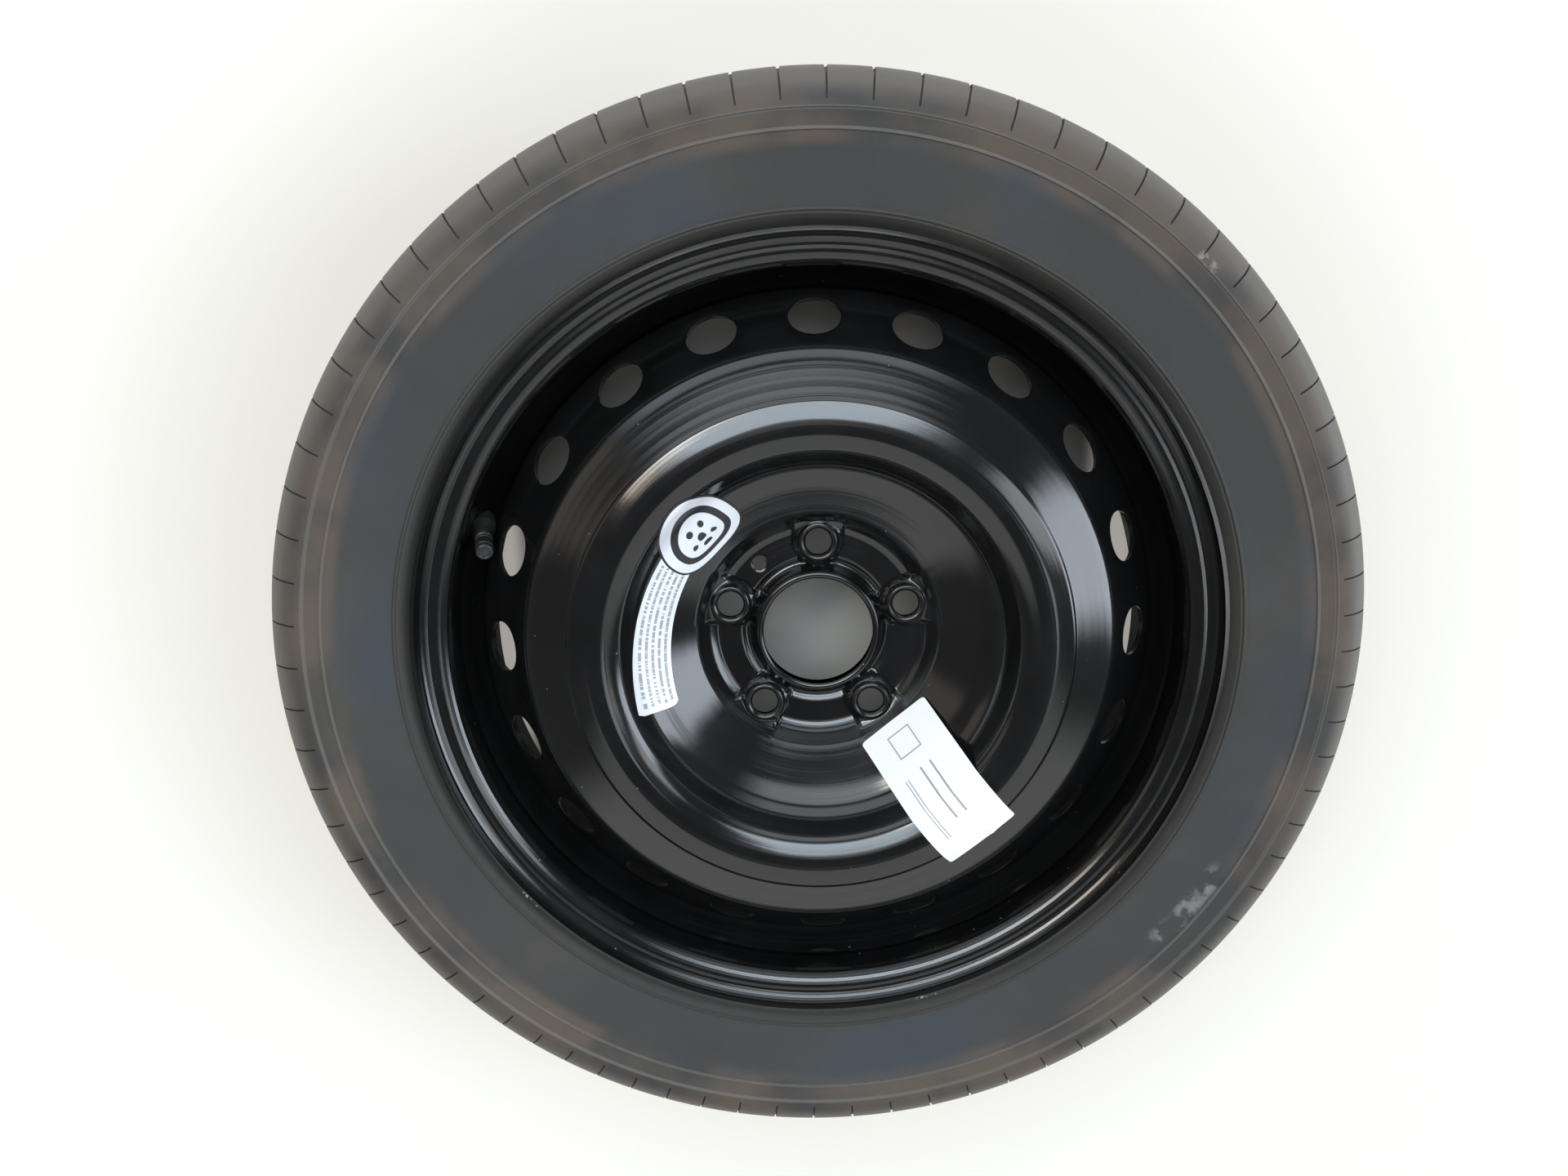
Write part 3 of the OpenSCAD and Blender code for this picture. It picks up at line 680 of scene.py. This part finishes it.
def make_paper_label():
    """A loose sheet over the bowl, with a crease at its far end."""
    steps = [0.0]
    for a, b in zip(PAPER_LINE, PAPER_LINE[1:]):
        steps.append(steps[-1] + (b - a).length)
    bm = bmesh.new()
    made = bmesh.ops.create_grid(bm, x_segments=90, y_segments=36, size=0.5)
    print_layer(bm, bm.faces[:], 0)
    a = math.radians(PAPER_ANGLE)
    for vert in made["verts"]:
        run = (vert.co.x + 0.5) * steps[-1]
        across = vert.co.y * PAPER_W
        corner = min(run, steps[-1] - run) + (PAPER_W / 2 - abs(across))
        if corner < 1.6:
            run += (0.8 - corner / 2) * math.copysign(0.7, steps[-1] / 2 - run)
            across -= (0.8 - corner / 2) * math.copysign(0.7, across)
        index = max(k for k, value in enumerate(steps) if value <= max(run, 0))
        index = min(index, len(steps) - 2)
        t = (run - steps[index]) / (steps[index + 1] - steps[index])
        x, z = PAPER_LINE[index] + (PAPER_LINE[index + 1] - PAPER_LINE[index]) * t
        end = smooth(run, steps[-1] - 20, steps[-1])
        crease = across - 7.5 - 2.5 * (run / steps[-1] - 1) * 5
        z += end * (1.3 * math.exp(-abs(crease) / 1.5) - 0.0022 * across ** 2)
        z += 0.5 * math.sin(run / 13 + across / 16) * smooth(run, 12, 30) * (1 - smooth(run, 55, 70))
        z += 0.5 * (1 - smooth(run, 0, 14)) * (across / 24) ** 2
        vert.co = Vector((
            x * math.cos(a) - across * math.sin(a),
            x * math.sin(a) + across * math.cos(a),
            z,
        ))
    bmesh.ops.recalc_face_normals(bm, faces=bm.faces)
    if sum(f.normal.z for f in bm.faces) < 0:
        bmesh.ops.reverse_faces(bm, faces=bm.faces[:])
    bmesh.ops.solidify(bm, geom=bm.faces[:], thickness=0.18)
    return finished("paper_label", bm, "wheel", "paper_label")


# Valve

def valve_place():
    """The valve's frame, in millimetres, with its origin in the rim's hole."""
    return (Matrix.Rotation(math.radians(VALVE_ANGLE), 4, "Z")
        @ Matrix.Translation((VALVE_R, 0, 17.0))
        @ Matrix.Rotation(math.radians(-VALVE_TILT), 4, "Y")
        @ Matrix.Rotation(math.radians(-VALVE_LEAN), 4, "X"))


CAP_LINE = [(4.43, 20.7), (4.85, 20.7), (5.12, 20.9), (5.2, 21.2), (5.2, 21.9), (5.2, 22.1),
    (5.2, 22.3), (5.2, 28.7), (5.2, 28.9), (5.2, 29.1), (4.9, 29.35), (4.8, 29.6), (4.9, 29.85),
    (5.15, 30.1), (5.2, 30.4), (5.2, 32.0), (5.08, 32.6), (4.75, 33.1), (4.3, 33.4), (3.8, 33.5),
    (3.45, 33.42), (3.2, 33.2), (2.9, 33.2), (2.6, 33.36), (1.6, 33.58), (0, 33.66), (0, 32.28),
    (3.93, 32.28), (3.93, 25.6), (4.43, 25.1)]


def make_cap():
    bm = bmesh.new()
    spin_up(bm, CAP_LINE, 96, True)
    for vert in bm.verts:
        r, angle = polar_of(vert.co)
        notch = round((angle % 360) / 3.75) % 4 >= 2
        if r > 5.1 and 22.2 < vert.co.z < 28.8 and notch:
            vert.co.x *= 1 - 0.4 / r
            vert.co.y *= 1 - 0.4 / r
    bmesh.ops.transform(bm, matrix=valve_place(), verts=bm.verts)
    return finished("ribbed_cap", bm, "cap", "valve_cap", sharp=30)


# Materials

def new_material(name):
    material = bpy.data.materials.new(name)
    material.use_nodes = True
    tree = material.node_tree
    shader = tree.nodes["Principled BSDF"]
    return material, tree, shader


def node(tree, kind, inputs=None, **settings):
    made = tree.nodes.new(kind)
    for key, value in settings.items():
        setattr(made, key, value)
    for key, value in (inputs or {}).items():
        made.inputs[key].default_value = value
    return made


def ramp(tree, value, stops):
    """A colour ramp over a value."""
    made = node(tree, "ShaderNodeValToRGB")
    made.color_ramp.elements[0].position = stops[0][0]
    made.color_ramp.elements[0].color = stops[0][1]
    made.color_ramp.elements[1].position = stops[-1][0]
    made.color_ramp.elements[1].color = stops[-1][1]
    for place, colour in stops[1:-1]:
        made.color_ramp.elements.new(place).color = colour
    tree.links.new(value, made.inputs["Fac"])
    return made.outputs["Color"]


def math_of(tree, operation, a, b):
    """A math node on an output and a number or another output."""
    made = node(tree, "ShaderNodeMath", operation=operation)
    for index, value in enumerate((a, b)):
        if isinstance(value, (int, float)):
            made.inputs[index].default_value = value
        else:
            tree.links.new(value, made.inputs[index])
    return made.outputs["Value"]


def times(tree, a, b):
    return math_of(tree, "MULTIPLY", a, b)


def plus(tree, a, b):
    return math_of(tree, "ADD", a, b)


def most(tree, a, b):
    return math_of(tree, "MAXIMUM", a, b)


def grey(value):
    return (value, value, value, 1)


def link_up(tree, shader, colour, normal, rough=None):
    """Links a surface's colour, normal and, where it varies, roughness."""
    tree.links.new(colour, shader.inputs["Base Color"])
    tree.links.new(normal, shader.inputs["Normal"])
    if rough:
        tree.links.new(rough, shader.inputs["Roughness"])


def new_group(name, inputs, outputs):
    group = bpy.data.node_groups.new(name, "ShaderNodeTree")
    for label, kind, value in inputs:
        made = group.interface.new_socket(name=label, in_out="INPUT", socket_type=kind)
        if value is not None:
            made.default_value = value
    for label, kind in outputs:
        group.interface.new_socket(name=label, in_out="OUTPUT", socket_type=kind)
    return group, group.nodes.new("NodeGroupInput"), group.nodes.new("NodeGroupOutput")


def grain_group():
    """Fine grain and broad unevenness as one height, and a broad mask."""
    group, given, result = new_group("surface_grain", [
        ("Vector", "NodeSocketVector", None),
        ("Grain Scale", "NodeSocketFloat", 900.0),
        ("Patch Scale", "NodeSocketFloat", 12.0),
        ("Grain Share", "NodeSocketFloat", 0.5),
    ], [("Height", "NodeSocketFloat"), ("Patches", "NodeSocketFloat")])
    fine = node(group, "ShaderNodeTexNoise", {"Detail": 3.0, "Roughness": 0.6})
    broad = node(group, "ShaderNodeTexNoise", {"Detail": 4.0, "Roughness": 0.55})
    mixed = node(group, "ShaderNodeMix", data_type="FLOAT")
    group.links.new(given.outputs["Vector"], fine.inputs["Vector"])
    group.links.new(given.outputs["Vector"], broad.inputs["Vector"])
    group.links.new(given.outputs["Grain Scale"], fine.inputs["Scale"])
    group.links.new(given.outputs["Patch Scale"], broad.inputs["Scale"])
    group.links.new(given.outputs["Grain Share"], mixed.inputs["Factor"])
    group.links.new(broad.outputs["Fac"], mixed.inputs["A"])
    group.links.new(fine.outputs["Fac"], mixed.inputs["B"])
    group.links.new(mixed.outputs["Result"], result.inputs["Height"])
    group.links.new(broad.outputs["Fac"], result.inputs["Patches"])
    return group


def place_group():
    """Radius in millimetres and angle in degrees round the axle."""
    group, given, result = new_group("round_place", [("Vector", "NodeSocketVector", None)],
        [("Radius", "NodeSocketFloat"), ("Angle", "NodeSocketFloat")])
    split = node(group, "ShaderNodeSeparateXYZ")
    flat = node(group, "ShaderNodeCombineXYZ")
    far = node(group, "ShaderNodeVectorMath", operation="LENGTH")
    group.links.new(given.outputs["Vector"], split.inputs["Vector"])
    group.links.new(split.outputs["X"], flat.inputs["X"])
    group.links.new(split.outputs["Y"], flat.inputs["Y"])
    group.links.new(flat.outputs["Vector"], far.inputs[0])
    turn = math_of(group, "ARCTAN2", split.outputs["Y"], split.outputs["X"])
    degrees = math_of(group, "DEGREES", turn, 0)
    group.links.new(times(group, far.outputs["Value"], 1000.0), result.inputs["Radius"])
    group.links.new(math_of(group, "FLOORED_MODULO", degrees, 360.0), result.inputs["Angle"])
    return group


def band_group():
    """One between two limits of a value, fading out over a soft edge."""
    group, given, result = new_group("soft_band", [
        ("Value", "NodeSocketFloat", 0.0),
        ("Low", "NodeSocketFloat", 0.0),
        ("High", "NodeSocketFloat", 1.0),
        ("Soft", "NodeSocketFloat", 0.1),
    ], [("Mask", "NodeSocketFloat")])
    over = math_of(group, "SUBTRACT", given.outputs["Value"], given.outputs["Low"])
    under = math_of(group, "SUBTRACT", given.outputs["High"], given.outputs["Value"])
    share = math_of(group, "DIVIDE", math_of(group, "MINIMUM", over, under), given.outputs["Soft"])
    mask = node(group, "ShaderNodeMapRange", {"From Min": -1.0, "From Max": 0.0},
        interpolation_type="SMOOTHSTEP")
    group.links.new(share, mask.inputs["Value"])
    group.links.new(mask.outputs["Result"], result.inputs["Mask"])
    return group


GRAIN = grain_group()
PLACE = place_group()
BAND = band_group()


def band(tree, value, low, high, soft):
    """Mask of a value between two limits."""
    made = node(tree, "ShaderNodeGroup", node_tree=BAND)
    made.inputs["Low"].default_value = low
    made.inputs["High"].default_value = high
    made.inputs["Soft"].default_value = soft
    tree.links.new(value, made.inputs["Value"])
    return made.outputs["Mask"]


def blend(tree, mask, a, b):
    """Mixes two colours, each an output or a fixed colour, by a mask."""
    made = node(tree, "ShaderNodeMix", data_type="RGBA")
    tree.links.new(mask, made.inputs[0])
    for index, value in ((6, a), (7, b)):
        if isinstance(value, tuple):
            made.inputs[index].default_value = value
        else:
            tree.links.new(value, made.inputs[index])
    return made.outputs[2]


def noise(tree, place, scale, detail, low, high):
    """A noise mask from 0 to 1 over object coordinates."""
    made = node(tree, "ShaderNodeTexNoise", {"Scale": scale, "Detail": detail})
    tree.links.new(place.outputs["Object"], made.inputs["Vector"])
    mask = node(tree, "ShaderNodeMapRange", {"From Min": low, "From Max": high},
        interpolation_type="SMOOTHSTEP")
    tree.links.new(made.outputs["Fac"], mask.inputs["Value"])
    return mask.outputs["Result"]


def round_place(tree, place):
    """Radius and angle outputs round the axle."""
    made = node(tree, "ShaderNodeGroup", node_tree=PLACE)
    tree.links.new(place.outputs["Object"], made.inputs["Vector"])
    return made.outputs["Radius"], made.outputs["Angle"]


def spot(tree, radius, angle, at, size, soft):
    """Mask of a patch round a radius and an angle, with its size in millimetres and degrees."""
    a = band(tree, radius, at[0] - size[0] / 2, at[0] + size[0] / 2, soft[0])
    b = band(tree, angle, at[1] - size[1] / 2, at[1] + size[1] / 2, soft[1])
    return times(tree, a, b)


def grained(tree, grain, patches, share, distance):
    """Places the grain group and a bump; gives the mask of patches, the normal and the place."""
    place = node(tree, "ShaderNodeTexCoord")
    used = node(tree, "ShaderNodeGroup", node_tree=GRAIN)
    used.inputs["Grain Scale"].default_value = grain
    used.inputs["Patch Scale"].default_value = patches
    used.inputs["Grain Share"].default_value = share
    tree.links.new(place.outputs["Object"], used.inputs["Vector"])
    bump = node(tree, "ShaderNodeBump", {"Distance": distance})
    tree.links.new(used.outputs["Height"], bump.inputs["Height"])
    return used.outputs["Patches"], bump.outputs["Normal"], place


def tyre_rubber():
    """Old rubber: brown dust by the rings, glossier patches with a bluish sheen painted into their
    colour, painted shade in the slots and by the rim's flange, a few scuffs.
    """
    material, tree, shader = new_material("dusty_tyre_rubber")
    patches, normal, place = grained(tree, 1400.0, 9.0, 0.6, 0.00025)
    radius, angle = round_place(tree, place)
    colour = ramp(tree, patches, [(0.3, (0.026, 0.026, 0.026, 1)), (0.55, (0.036, 0.035, 0.033, 1)),
        (0.75, (0.056, 0.048, 0.039, 1))])
    shoulder = band(tree, radius, 308.0, 345.0, 11.0)
    colour = blend(tree, times(tree, shoulder, 0.85), colour, (0.118, 0.104, 0.090, 1))
    dust = times(tree, band(tree, radius, 280.0, 300.0, 7.0),
        noise(tree, place, 14.0, 5.0, 0.36, 0.60))
    colour = blend(tree, times(tree, dust, 0.7), colour, (0.100, 0.074, 0.056, 1))
    edge = plus(tree, band(tree, radius, 292.3, 293.6, 0.5),
        band(tree, radius, 282.5, 284.1, 0.5))
    colour = blend(tree, times(tree, edge, 0.45), colour, (0.150, 0.142, 0.130, 1))
    # Painted shade: the rubber where it tucks against the rim's flange is painted darker.
    painted_bead_shade = band(tree, radius, 230.0, 243.0, 6.0)
    colour = blend(tree, times(tree, painted_bead_shade, 0.5), colour, (0.030, 0.028, 0.024, 1))
    # Glossier patches: their roughness is lower, and a bluish sheen is painted into their colour.
    sheen = times(tree, band(tree, radius, 250.0, 278.0, 8.0),
        noise(tree, place, 11.0, 5.0, 0.46, 0.68))
    colour = blend(tree, times(tree, sheen, 0.7), colour, (0.028, 0.037, 0.050, 1))
    # Painted shade: the slots' floors are painted near black.
    slot_shade_mask = node(tree, "ShaderNodeAttribute", attribute_name="slot")
    colour = blend(tree, times(tree, slot_shade_mask.outputs["Fac"], 0.85), colour,
        (0.012, 0.011, 0.010, 1))
    scuff = times(tree, spot(tree, radius, angle, (276.0, 324.0), (6.0, 9.0), (5.0, 3.0)),
        noise(tree, place, 120.0, 5.0, 0.48, 0.66))
    mark = times(tree, spot(tree, radius, angle, (296.0, 47.0), (3.0, 1.6), (2.0, 0.8)),
        noise(tree, place, 220.0, 2.0, 0.40, 0.55))
    pale = times(tree, plus(tree, scuff, mark), 0.5)
    colour = blend(tree, pale, colour, (0.30, 0.29, 0.27, 1))
    dark_rough = ramp(tree, patches, [(0.3, grey(0.56)), (0.7, grey(0.72))])
    rough = blend(tree, times(tree, sheen, 0.7), dark_rough, grey(0.42))
    rough = blend(tree, times(tree, shoulder, 0.8), rough, grey(0.50))
    link_up(tree, shader, colour, normal, rough)
    shader.inputs["Specular IOR Level"].default_value = 0.45
    return material


def black_paint(name, rough_low, rough_high):
    """Baked paint with faint rings from the press, chips on the flange and a few specks."""
    material, tree, shader = new_material(name)
    patches, normal, place = grained(tree, 420.0, 26.0, 0.35, 0.00003)
    colour = ramp(tree, patches, [(0.3, grey(0.004)), (0.7, (0.0060, 0.0060, 0.0064, 1))])
    rough = ramp(tree, patches, [(0.3, grey(rough_low)), (0.7, grey(rough_high))])
    radius, angle = round_place(tree, place)
    rings = node(tree, "ShaderNodeTexNoise", {"Scale": 0.17, "Detail": 4.0, "Roughness": 0.55},
        noise_dimensions="1D")
    tree.links.new(radius, rings.inputs["W"])
    waves = node(tree, "ShaderNodeBump", {"Distance": 0.00011})
    tree.links.new(rings.outputs["Fac"], waves.inputs["Height"])
    tree.links.new(normal, waves.inputs["Normal"])
    chips = plus(tree, spot(tree, radius, angle, (234.6, 221.5), (1.0, 2.2), (0.5, 0.8)),
        spot(tree, radius, angle, (234.6, 286.0), (1.0, 3.4), (0.5, 1.2)))
    chips = times(tree, chips, noise(tree, place, 420.0, 2.0, 0.50, 0.58))
    specks = noise(tree, place, 260.0, 1.0, 0.80, 0.84)
    worn = plus(tree, times(tree, chips, 0.7),
        times(tree, specks, 0.35))
    colour = blend(tree, worn, colour, (0.34, 0.32, 0.29, 1))
    rough = blend(tree, worn, rough, grey(0.55))
    link_up(tree, shader, colour, waves.outputs["Normal"], rough)
    shader.inputs["Specular IOR Level"].default_value = 0.8
    return material


def plain_finish(name, low, high, rough, metal=0.0):
    material, tree, shader = new_material(name)
    mask, normal = grained(tree, 900.0, 60.0, 0.5, 0.00005)[:2]
    colour = ramp(tree, mask, [(0.3, low), (0.7, high)])
    link_up(tree, shader, colour, normal,
        ramp(tree, mask, [(0.3, grey(rough * 0.85)), (0.7, grey(rough * 1.2))]))
    shader.inputs["Metallic"].default_value = metal
    return material


def print_place(tree):
    """Outputs of the UV layer that holds a label's flat places."""
    layer = node(tree, "ShaderNodeUVMap", uv_map="print")
    split = node(tree, "ShaderNodeSeparateXYZ")
    tree.links.new(layer.outputs["UV"], split.inputs["Vector"])
    return split.outputs["X"], split.outputs["Y"]


def label_film():
    """White film: a dark edge and a plain wheel sign on the badge, faint broken lines on the tail."""
    material, tree, shader = new_material("label_film")
    patches, normal = grained(tree, 700.0, 40.0, 0.4, 0.00002)[:2]
    paper = ramp(tree, patches, [(0.3, (0.74, 0.77, 0.82, 1)), (0.7, (0.80, 0.82, 0.86, 1))])
    x, y = print_place(tree)
    on_tail = math_of(tree, "GREATER_THAN", x, 2.0)
    on_badge = math_of(tree, "SUBTRACT", 1.0, on_tail)
    reach = math_of(tree, "SQRT", plus(tree, times(tree, x, x),
        times(tree, y, y)), 0)
    turn = math_of(tree, "ARCTAN2", y, x)
    fifth = math.radians(72)
    turn = math_of(tree, "SUBTRACT", math_of(tree, "FLOORED_MODULO", turn, fifth), fifth / 2)
    dot_x = math_of(tree, "SUBTRACT", times(tree, reach,
        math_of(tree, "COSINE", turn, 0)), 0.30)
    dot_y = times(tree, reach, math_of(tree, "SINE", turn, 0))
    dots = math_of(tree, "SQRT", plus(tree, times(tree, dot_x, dot_x),
        times(tree, dot_y, dot_y)), 0)
    ink = most(tree, band(tree, reach, 0.955, 1.2, 0.01),
        band(tree, reach, 0.56, 0.72, 0.012))
    ink = most(tree, ink, band(tree, dots, -1.0, 0.075, 0.012))
    ink = most(tree, ink, band(tree, reach, -1.0, 0.10, 0.012))
    ink = times(tree, ink, on_badge)
    rows = times(tree, plus(tree, y, 0.43), 5.8)
    row = math_of(tree, "FRACT", rows, 0)
    words = node(tree, "ShaderNodeTexNoise", {"Scale": 1.0, "Detail": 1.0}, noise_dimensions="2D")
    spread = node(tree, "ShaderNodeCombineXYZ")
    tree.links.new(times(tree, x, 85.0), spread.inputs["X"])
    tree.links.new(times(tree, math_of(tree, "FLOOR", rows, 0), 7.3), spread.inputs["Y"])
    tree.links.new(spread.outputs["Vector"], words.inputs["Vector"])
    lines = times(tree, band(tree, row, 0.32, 0.68, 0.10),
        band(tree, words.outputs["Fac"], 0.44, 2.0, 0.05))
    lines = times(tree, lines, band(tree, y, -0.40, 0.40, 0.02))
    lines = times(tree, lines, band(tree, x, 2.60, 3.46, 0.01))
    lines = times(tree, times(tree, lines, on_tail), 0.72)
    colour = blend(tree, lines, paper, (0.16, 0.17, 0.19, 1))
    colour = blend(tree, ink, colour, (0.022, 0.022, 0.026, 1))
    link_up(tree, shader, colour, normal)
    shader.inputs["Roughness"].default_value = 0.30
    return material


def label_paper():
    """White paper with a few faint ruled lines."""
    material, tree, shader = new_material("label_paper")
    patches, normal = grained(tree, 900.0, 22.0, 0.4, 0.00006)[:2]
    paper = ramp(tree, patches, [(0.3, (0.88, 0.88, 0.90, 1)), (0.7, (0.91, 0.91, 0.92, 1))])
    x, y = print_place(tree)
    ruled = most(tree, band(tree, y, 0.094, 0.116, 0.004),
        band(tree, y, -0.052, -0.030, 0.004))
    ruled = times(tree, ruled, band(tree, x, -0.14, 0.24, 0.004))
    small = most(tree, band(tree, y, -0.262, -0.252, 0.004),
        band(tree, y, -0.302, -0.292, 0.004))
    small = times(tree, small, band(tree, x, -0.12, 0.32, 0.004))
    across = math_of(tree, "ABSOLUTE", math_of(tree, "MULTIPLY",
        plus(tree, x, 0.335), 96.0), 0)
    along = math_of(tree, "ABSOLUTE", math_of(tree, "MULTIPLY",
        plus(tree, y, 0.03), 48.8), 0)
    frame_edge = band(tree, most(tree, across, along), 7.2, 7.9, 0.15)
    ink = most(tree, most(tree, ruled, small), frame_edge)
    colour = blend(tree, times(tree, ink, 0.75), paper, (0.14, 0.14, 0.18, 1))
    link_up(tree, shader, colour, normal)
    shader.inputs["Roughness"].default_value = 0.6
    return material


def dress(piece, material):
    piece.data.materials.clear()
    piece.data.materials.append(material)


def make_materials():
    return {
        "tyre": tyre_rubber(),
        "black_steel": black_paint("baked_black_paint", 0.10, 0.16),
        "weld_steel": black_paint("painted_weld", 0.35, 0.5),
        "valve_rubber": plain_finish("valve_rubber_black", (0.018, 0.017, 0.016, 1),
            (0.032, 0.030, 0.027, 1), 0.36),
        "seal_rubber": plain_finish("seal_rubber_black", (0.03, 0.03, 0.03, 1),
            (0.045, 0.045, 0.045, 1), 0.6),
        "brass": plain_finish("turned_brass", (0.62, 0.44, 0.18, 1), (0.74, 0.56, 0.27, 1), 0.28, 1.0),
        "spring_steel": plain_finish("spring_steel_wire", (0.45, 0.45, 0.46, 1),
            (0.6, 0.6, 0.6, 1), 0.3, 1.0),
        "cap_plastic": plain_finish("cap_plastic_black", (0.012, 0.012, 0.013, 1),
            (0.020, 0.020, 0.022, 1), 0.28),
        "film": label_film(),
        "paper": label_paper(),
    }


# Scene

def make_floor():
    """A pale floor with painted shade: darker round the wheel than farther off, and dark under the wheel
    where it shows behind the holes.
    """
    bm = bmesh.new()
    bmesh.ops.create_grid(bm, x_segments=2, y_segments=2, size=4000)
    bmesh.ops.translate(bm, verts=bm.verts, vec=(0, 0, cad_box[0][2] / MM - 0.2))
    bmesh.ops.scale(bm, vec=(MM, MM, MM), verts=bm.verts)
    mesh = bpy.data.meshes.new("floor")
    bm.to_mesh(mesh)
    bm.free()
    floor = bpy.data.objects.new("floor", mesh)
    bpy.context.scene.collection.objects.link(floor)
    material, tree, shader = new_material("pale_floor")
    patches, place = grained(tree, 300.0, 2.0, 0.5, 0.0001)[::2]
    colour = ramp(tree, patches, [(0.3, (0.80, 0.765, 0.70, 1)), (0.7, (0.83, 0.795, 0.73, 1))])
    radius = round_place(tree, place)[0]
    split = node(tree, "ShaderNodeSeparateXYZ")
    tree.links.new(place.outputs["Object"], split.inputs["Vector"])
    # Painted light and shade: the floor is painted lighter beyond about 520 mm from the axle and darker
    # round the wheel.
    colour = blend(tree, band(tree, radius, 520.0, 5000.0, 160.0), colour, (0.91, 0.885, 0.825, 1))
    # Painted shade: the floor under the wheel, seen through the holes, is painted dark.
    under = times(tree, band(tree, radius, -1.0, 262.0, 6.0),
        band(tree, split.outputs["X"], -0.185, 0.178, 0.02))
    colour = blend(tree, under, colour, (0.40, 0.39, 0.36, 1))
    tree.links.new(colour, shader.inputs["Base Color"])
    shader.inputs["Roughness"].default_value = 0.6
    shader.inputs["Specular IOR Level"].default_value = 0.2
    path = node(tree, "ShaderNodeLightPath")
    seen = most(tree, path.outputs["Is Camera Ray"], path.outputs["Is Glossy Ray"])
    seen = most(tree, seen, path.outputs["Is Transmission Ray"])
    # The floor's glow is also lessened under the wheel, as part of the same painted shade.
    share = times(tree, seen,
        math_of(tree, "SUBTRACT", 0.42, times(tree, under, 0.38)))
    glow = node(tree, "ShaderNodeEmission")
    tree.links.new(colour, glow.inputs["Color"])
    mixed = node(tree, "ShaderNodeMixShader")
    tree.links.new(share, mixed.inputs["Fac"])
    tree.links.new(shader.outputs["BSDF"], mixed.inputs[1])
    tree.links.new(glow.outputs["Emission"], mixed.inputs[2])
    tree.links.new(mixed.outputs["Shader"], tree.nodes["Material Output"].inputs["Surface"])
    floor.data.materials.append(material)


def area_light(name, place, aim, size, power, colour):
    light = bpy.data.lights.new(name, "AREA")
    light.shape = "RECTANGLE"
    light.size = size[0]
    light.size_y = size[1]
    light.energy = power
    light.color = colour
    lamp = bpy.data.objects.new(name, light)
    lamp.location = place
    lamp.rotation_euler = (Vector(aim) - Vector(place)).to_track_quat("-Z", "Y").to_euler()
    bpy.context.scene.collection.objects.link(lamp)


# Soft panes of light round the wheel: direction round the axle and off the vertical in
# degrees, each as low, high and soft edge, then strength and colour
PANES = [
    ((50, 142, 18), (10, 27, 5), 6.4, (0.78, 0.90, 1.00)),
    ((62, 136, 20), (28, 40, 6), 2.2, (0.86, 0.94, 1.00)),
    ((68, 128, 22), (56, 84, 7), 1.5, (0.84, 0.93, 1.00)),
    ((-8, 12, 10), (50, 88, 8), 5.4, (0.82, 0.90, 1.00)),
    ((-4, 14, 6), (28, 42, 4), 3.2, (0.90, 0.95, 1.00)),
    ((-37, -22, 5), (19, 29, 4), 2.4, (0.95, 0.98, 1.00)),
    ((-125, -42, 14), (34, 76, 8), 0.75, (0.98, 1.00, 0.97)),
    ((-181, 181, 1), (-1, 6, 4), 0.9, (1.00, 1.00, 1.00)),
    ((150, 172, 8), (52, 72, 8), 0.5, (1.00, 0.88, 0.72)),
]


def make_lights():
    """A dim room with soft panes, seen plain by the camera, and one warm lamp."""
    world = bpy.data.worlds.new("studio")
    bpy.context.scene.world = world
    world.use_nodes = True
    tree = world.node_tree
    way = node(tree, "ShaderNodeTexCoord")
    split = node(tree, "ShaderNodeSeparateXYZ")
    tree.links.new(way.outputs["Generated"], split.inputs["Vector"])
    off = math_of(tree, "DEGREES", math_of(tree, "ARCCOSINE", split.outputs["Z"], 0), 0)
    turn = math_of(tree, "DEGREES", math_of(tree, "ARCTAN2", split.outputs["Y"], split.outputs["X"]), 0)
    total = ramp(tree, split.outputs["Z"], [(0.0, (0.17, 0.17, 0.17, 1)), (1.0, (0.09, 0.09, 0.095, 1))])
    for round_it, off_it, strength, colour in PANES:
        mask = times(tree, band(tree, turn, *round_it), band(tree, off, *off_it))
        pane = node(tree, "ShaderNodeVectorMath", {0: colour}, operation="SCALE")
        tree.links.new(times(tree, mask, strength), pane.inputs["Scale"])
        both = node(tree, "ShaderNodeVectorMath", operation="ADD")
        tree.links.new(total, both.inputs[0])
        tree.links.new(pane.outputs["Vector"], both.inputs[1])
        total = both.outputs["Vector"]
    path = node(tree, "ShaderNodeLightPath")
    seen = blend(tree, path.outputs["Is Camera Ray"], total, (0.93, 0.92, 0.88, 1))
    tree.links.new(seen, tree.nodes["Background"].inputs["Color"])
    area_light("warm_window", (-0.85, 0.70, 1.95), (0, 0, 0.05), (0.85, 0.34), 7.5, (1.0, 0.89, 0.74))


def make_camera():
    data = bpy.data.cameras.new("camera")
    data.lens = 27.405
    data.sensor_width = 36.0
    data.sensor_fit = "HORIZONTAL"
    data.clip_start = 0.01
    camera = bpy.data.objects.new("camera", data)
    bpy.context.scene.collection.objects.link(camera)
    camera.matrix_world = Matrix((
        (0.99987849, 0.00775722, -0.01352154, -0.0305),
        (-0.00413543, 0.96831152, 0.24971123, 0.2077),
        (0.01503013, -0.24962497, 0.96822594, 0.71862),
        (0, 0, 0, 1),
    ))
    bpy.context.scene.camera = camera


make_camera()
finishes = make_materials()
for entry in frame["record"]["subparts"]:
    dress(nodes[entry["node"]], finishes[entry["material_slot"]])
dress(make_tyre(), finishes["tyre"])
dress(make_disc(), finishes["black_steel"])
dress(make_film_label(), finishes["film"])
dress(make_paper_label(), finishes["paper"])
dress(make_cap(), finishes["cap_plastic"])
make_floor()
make_lights()
bpy.context.scene.view_settings.view_transform = "Standard"
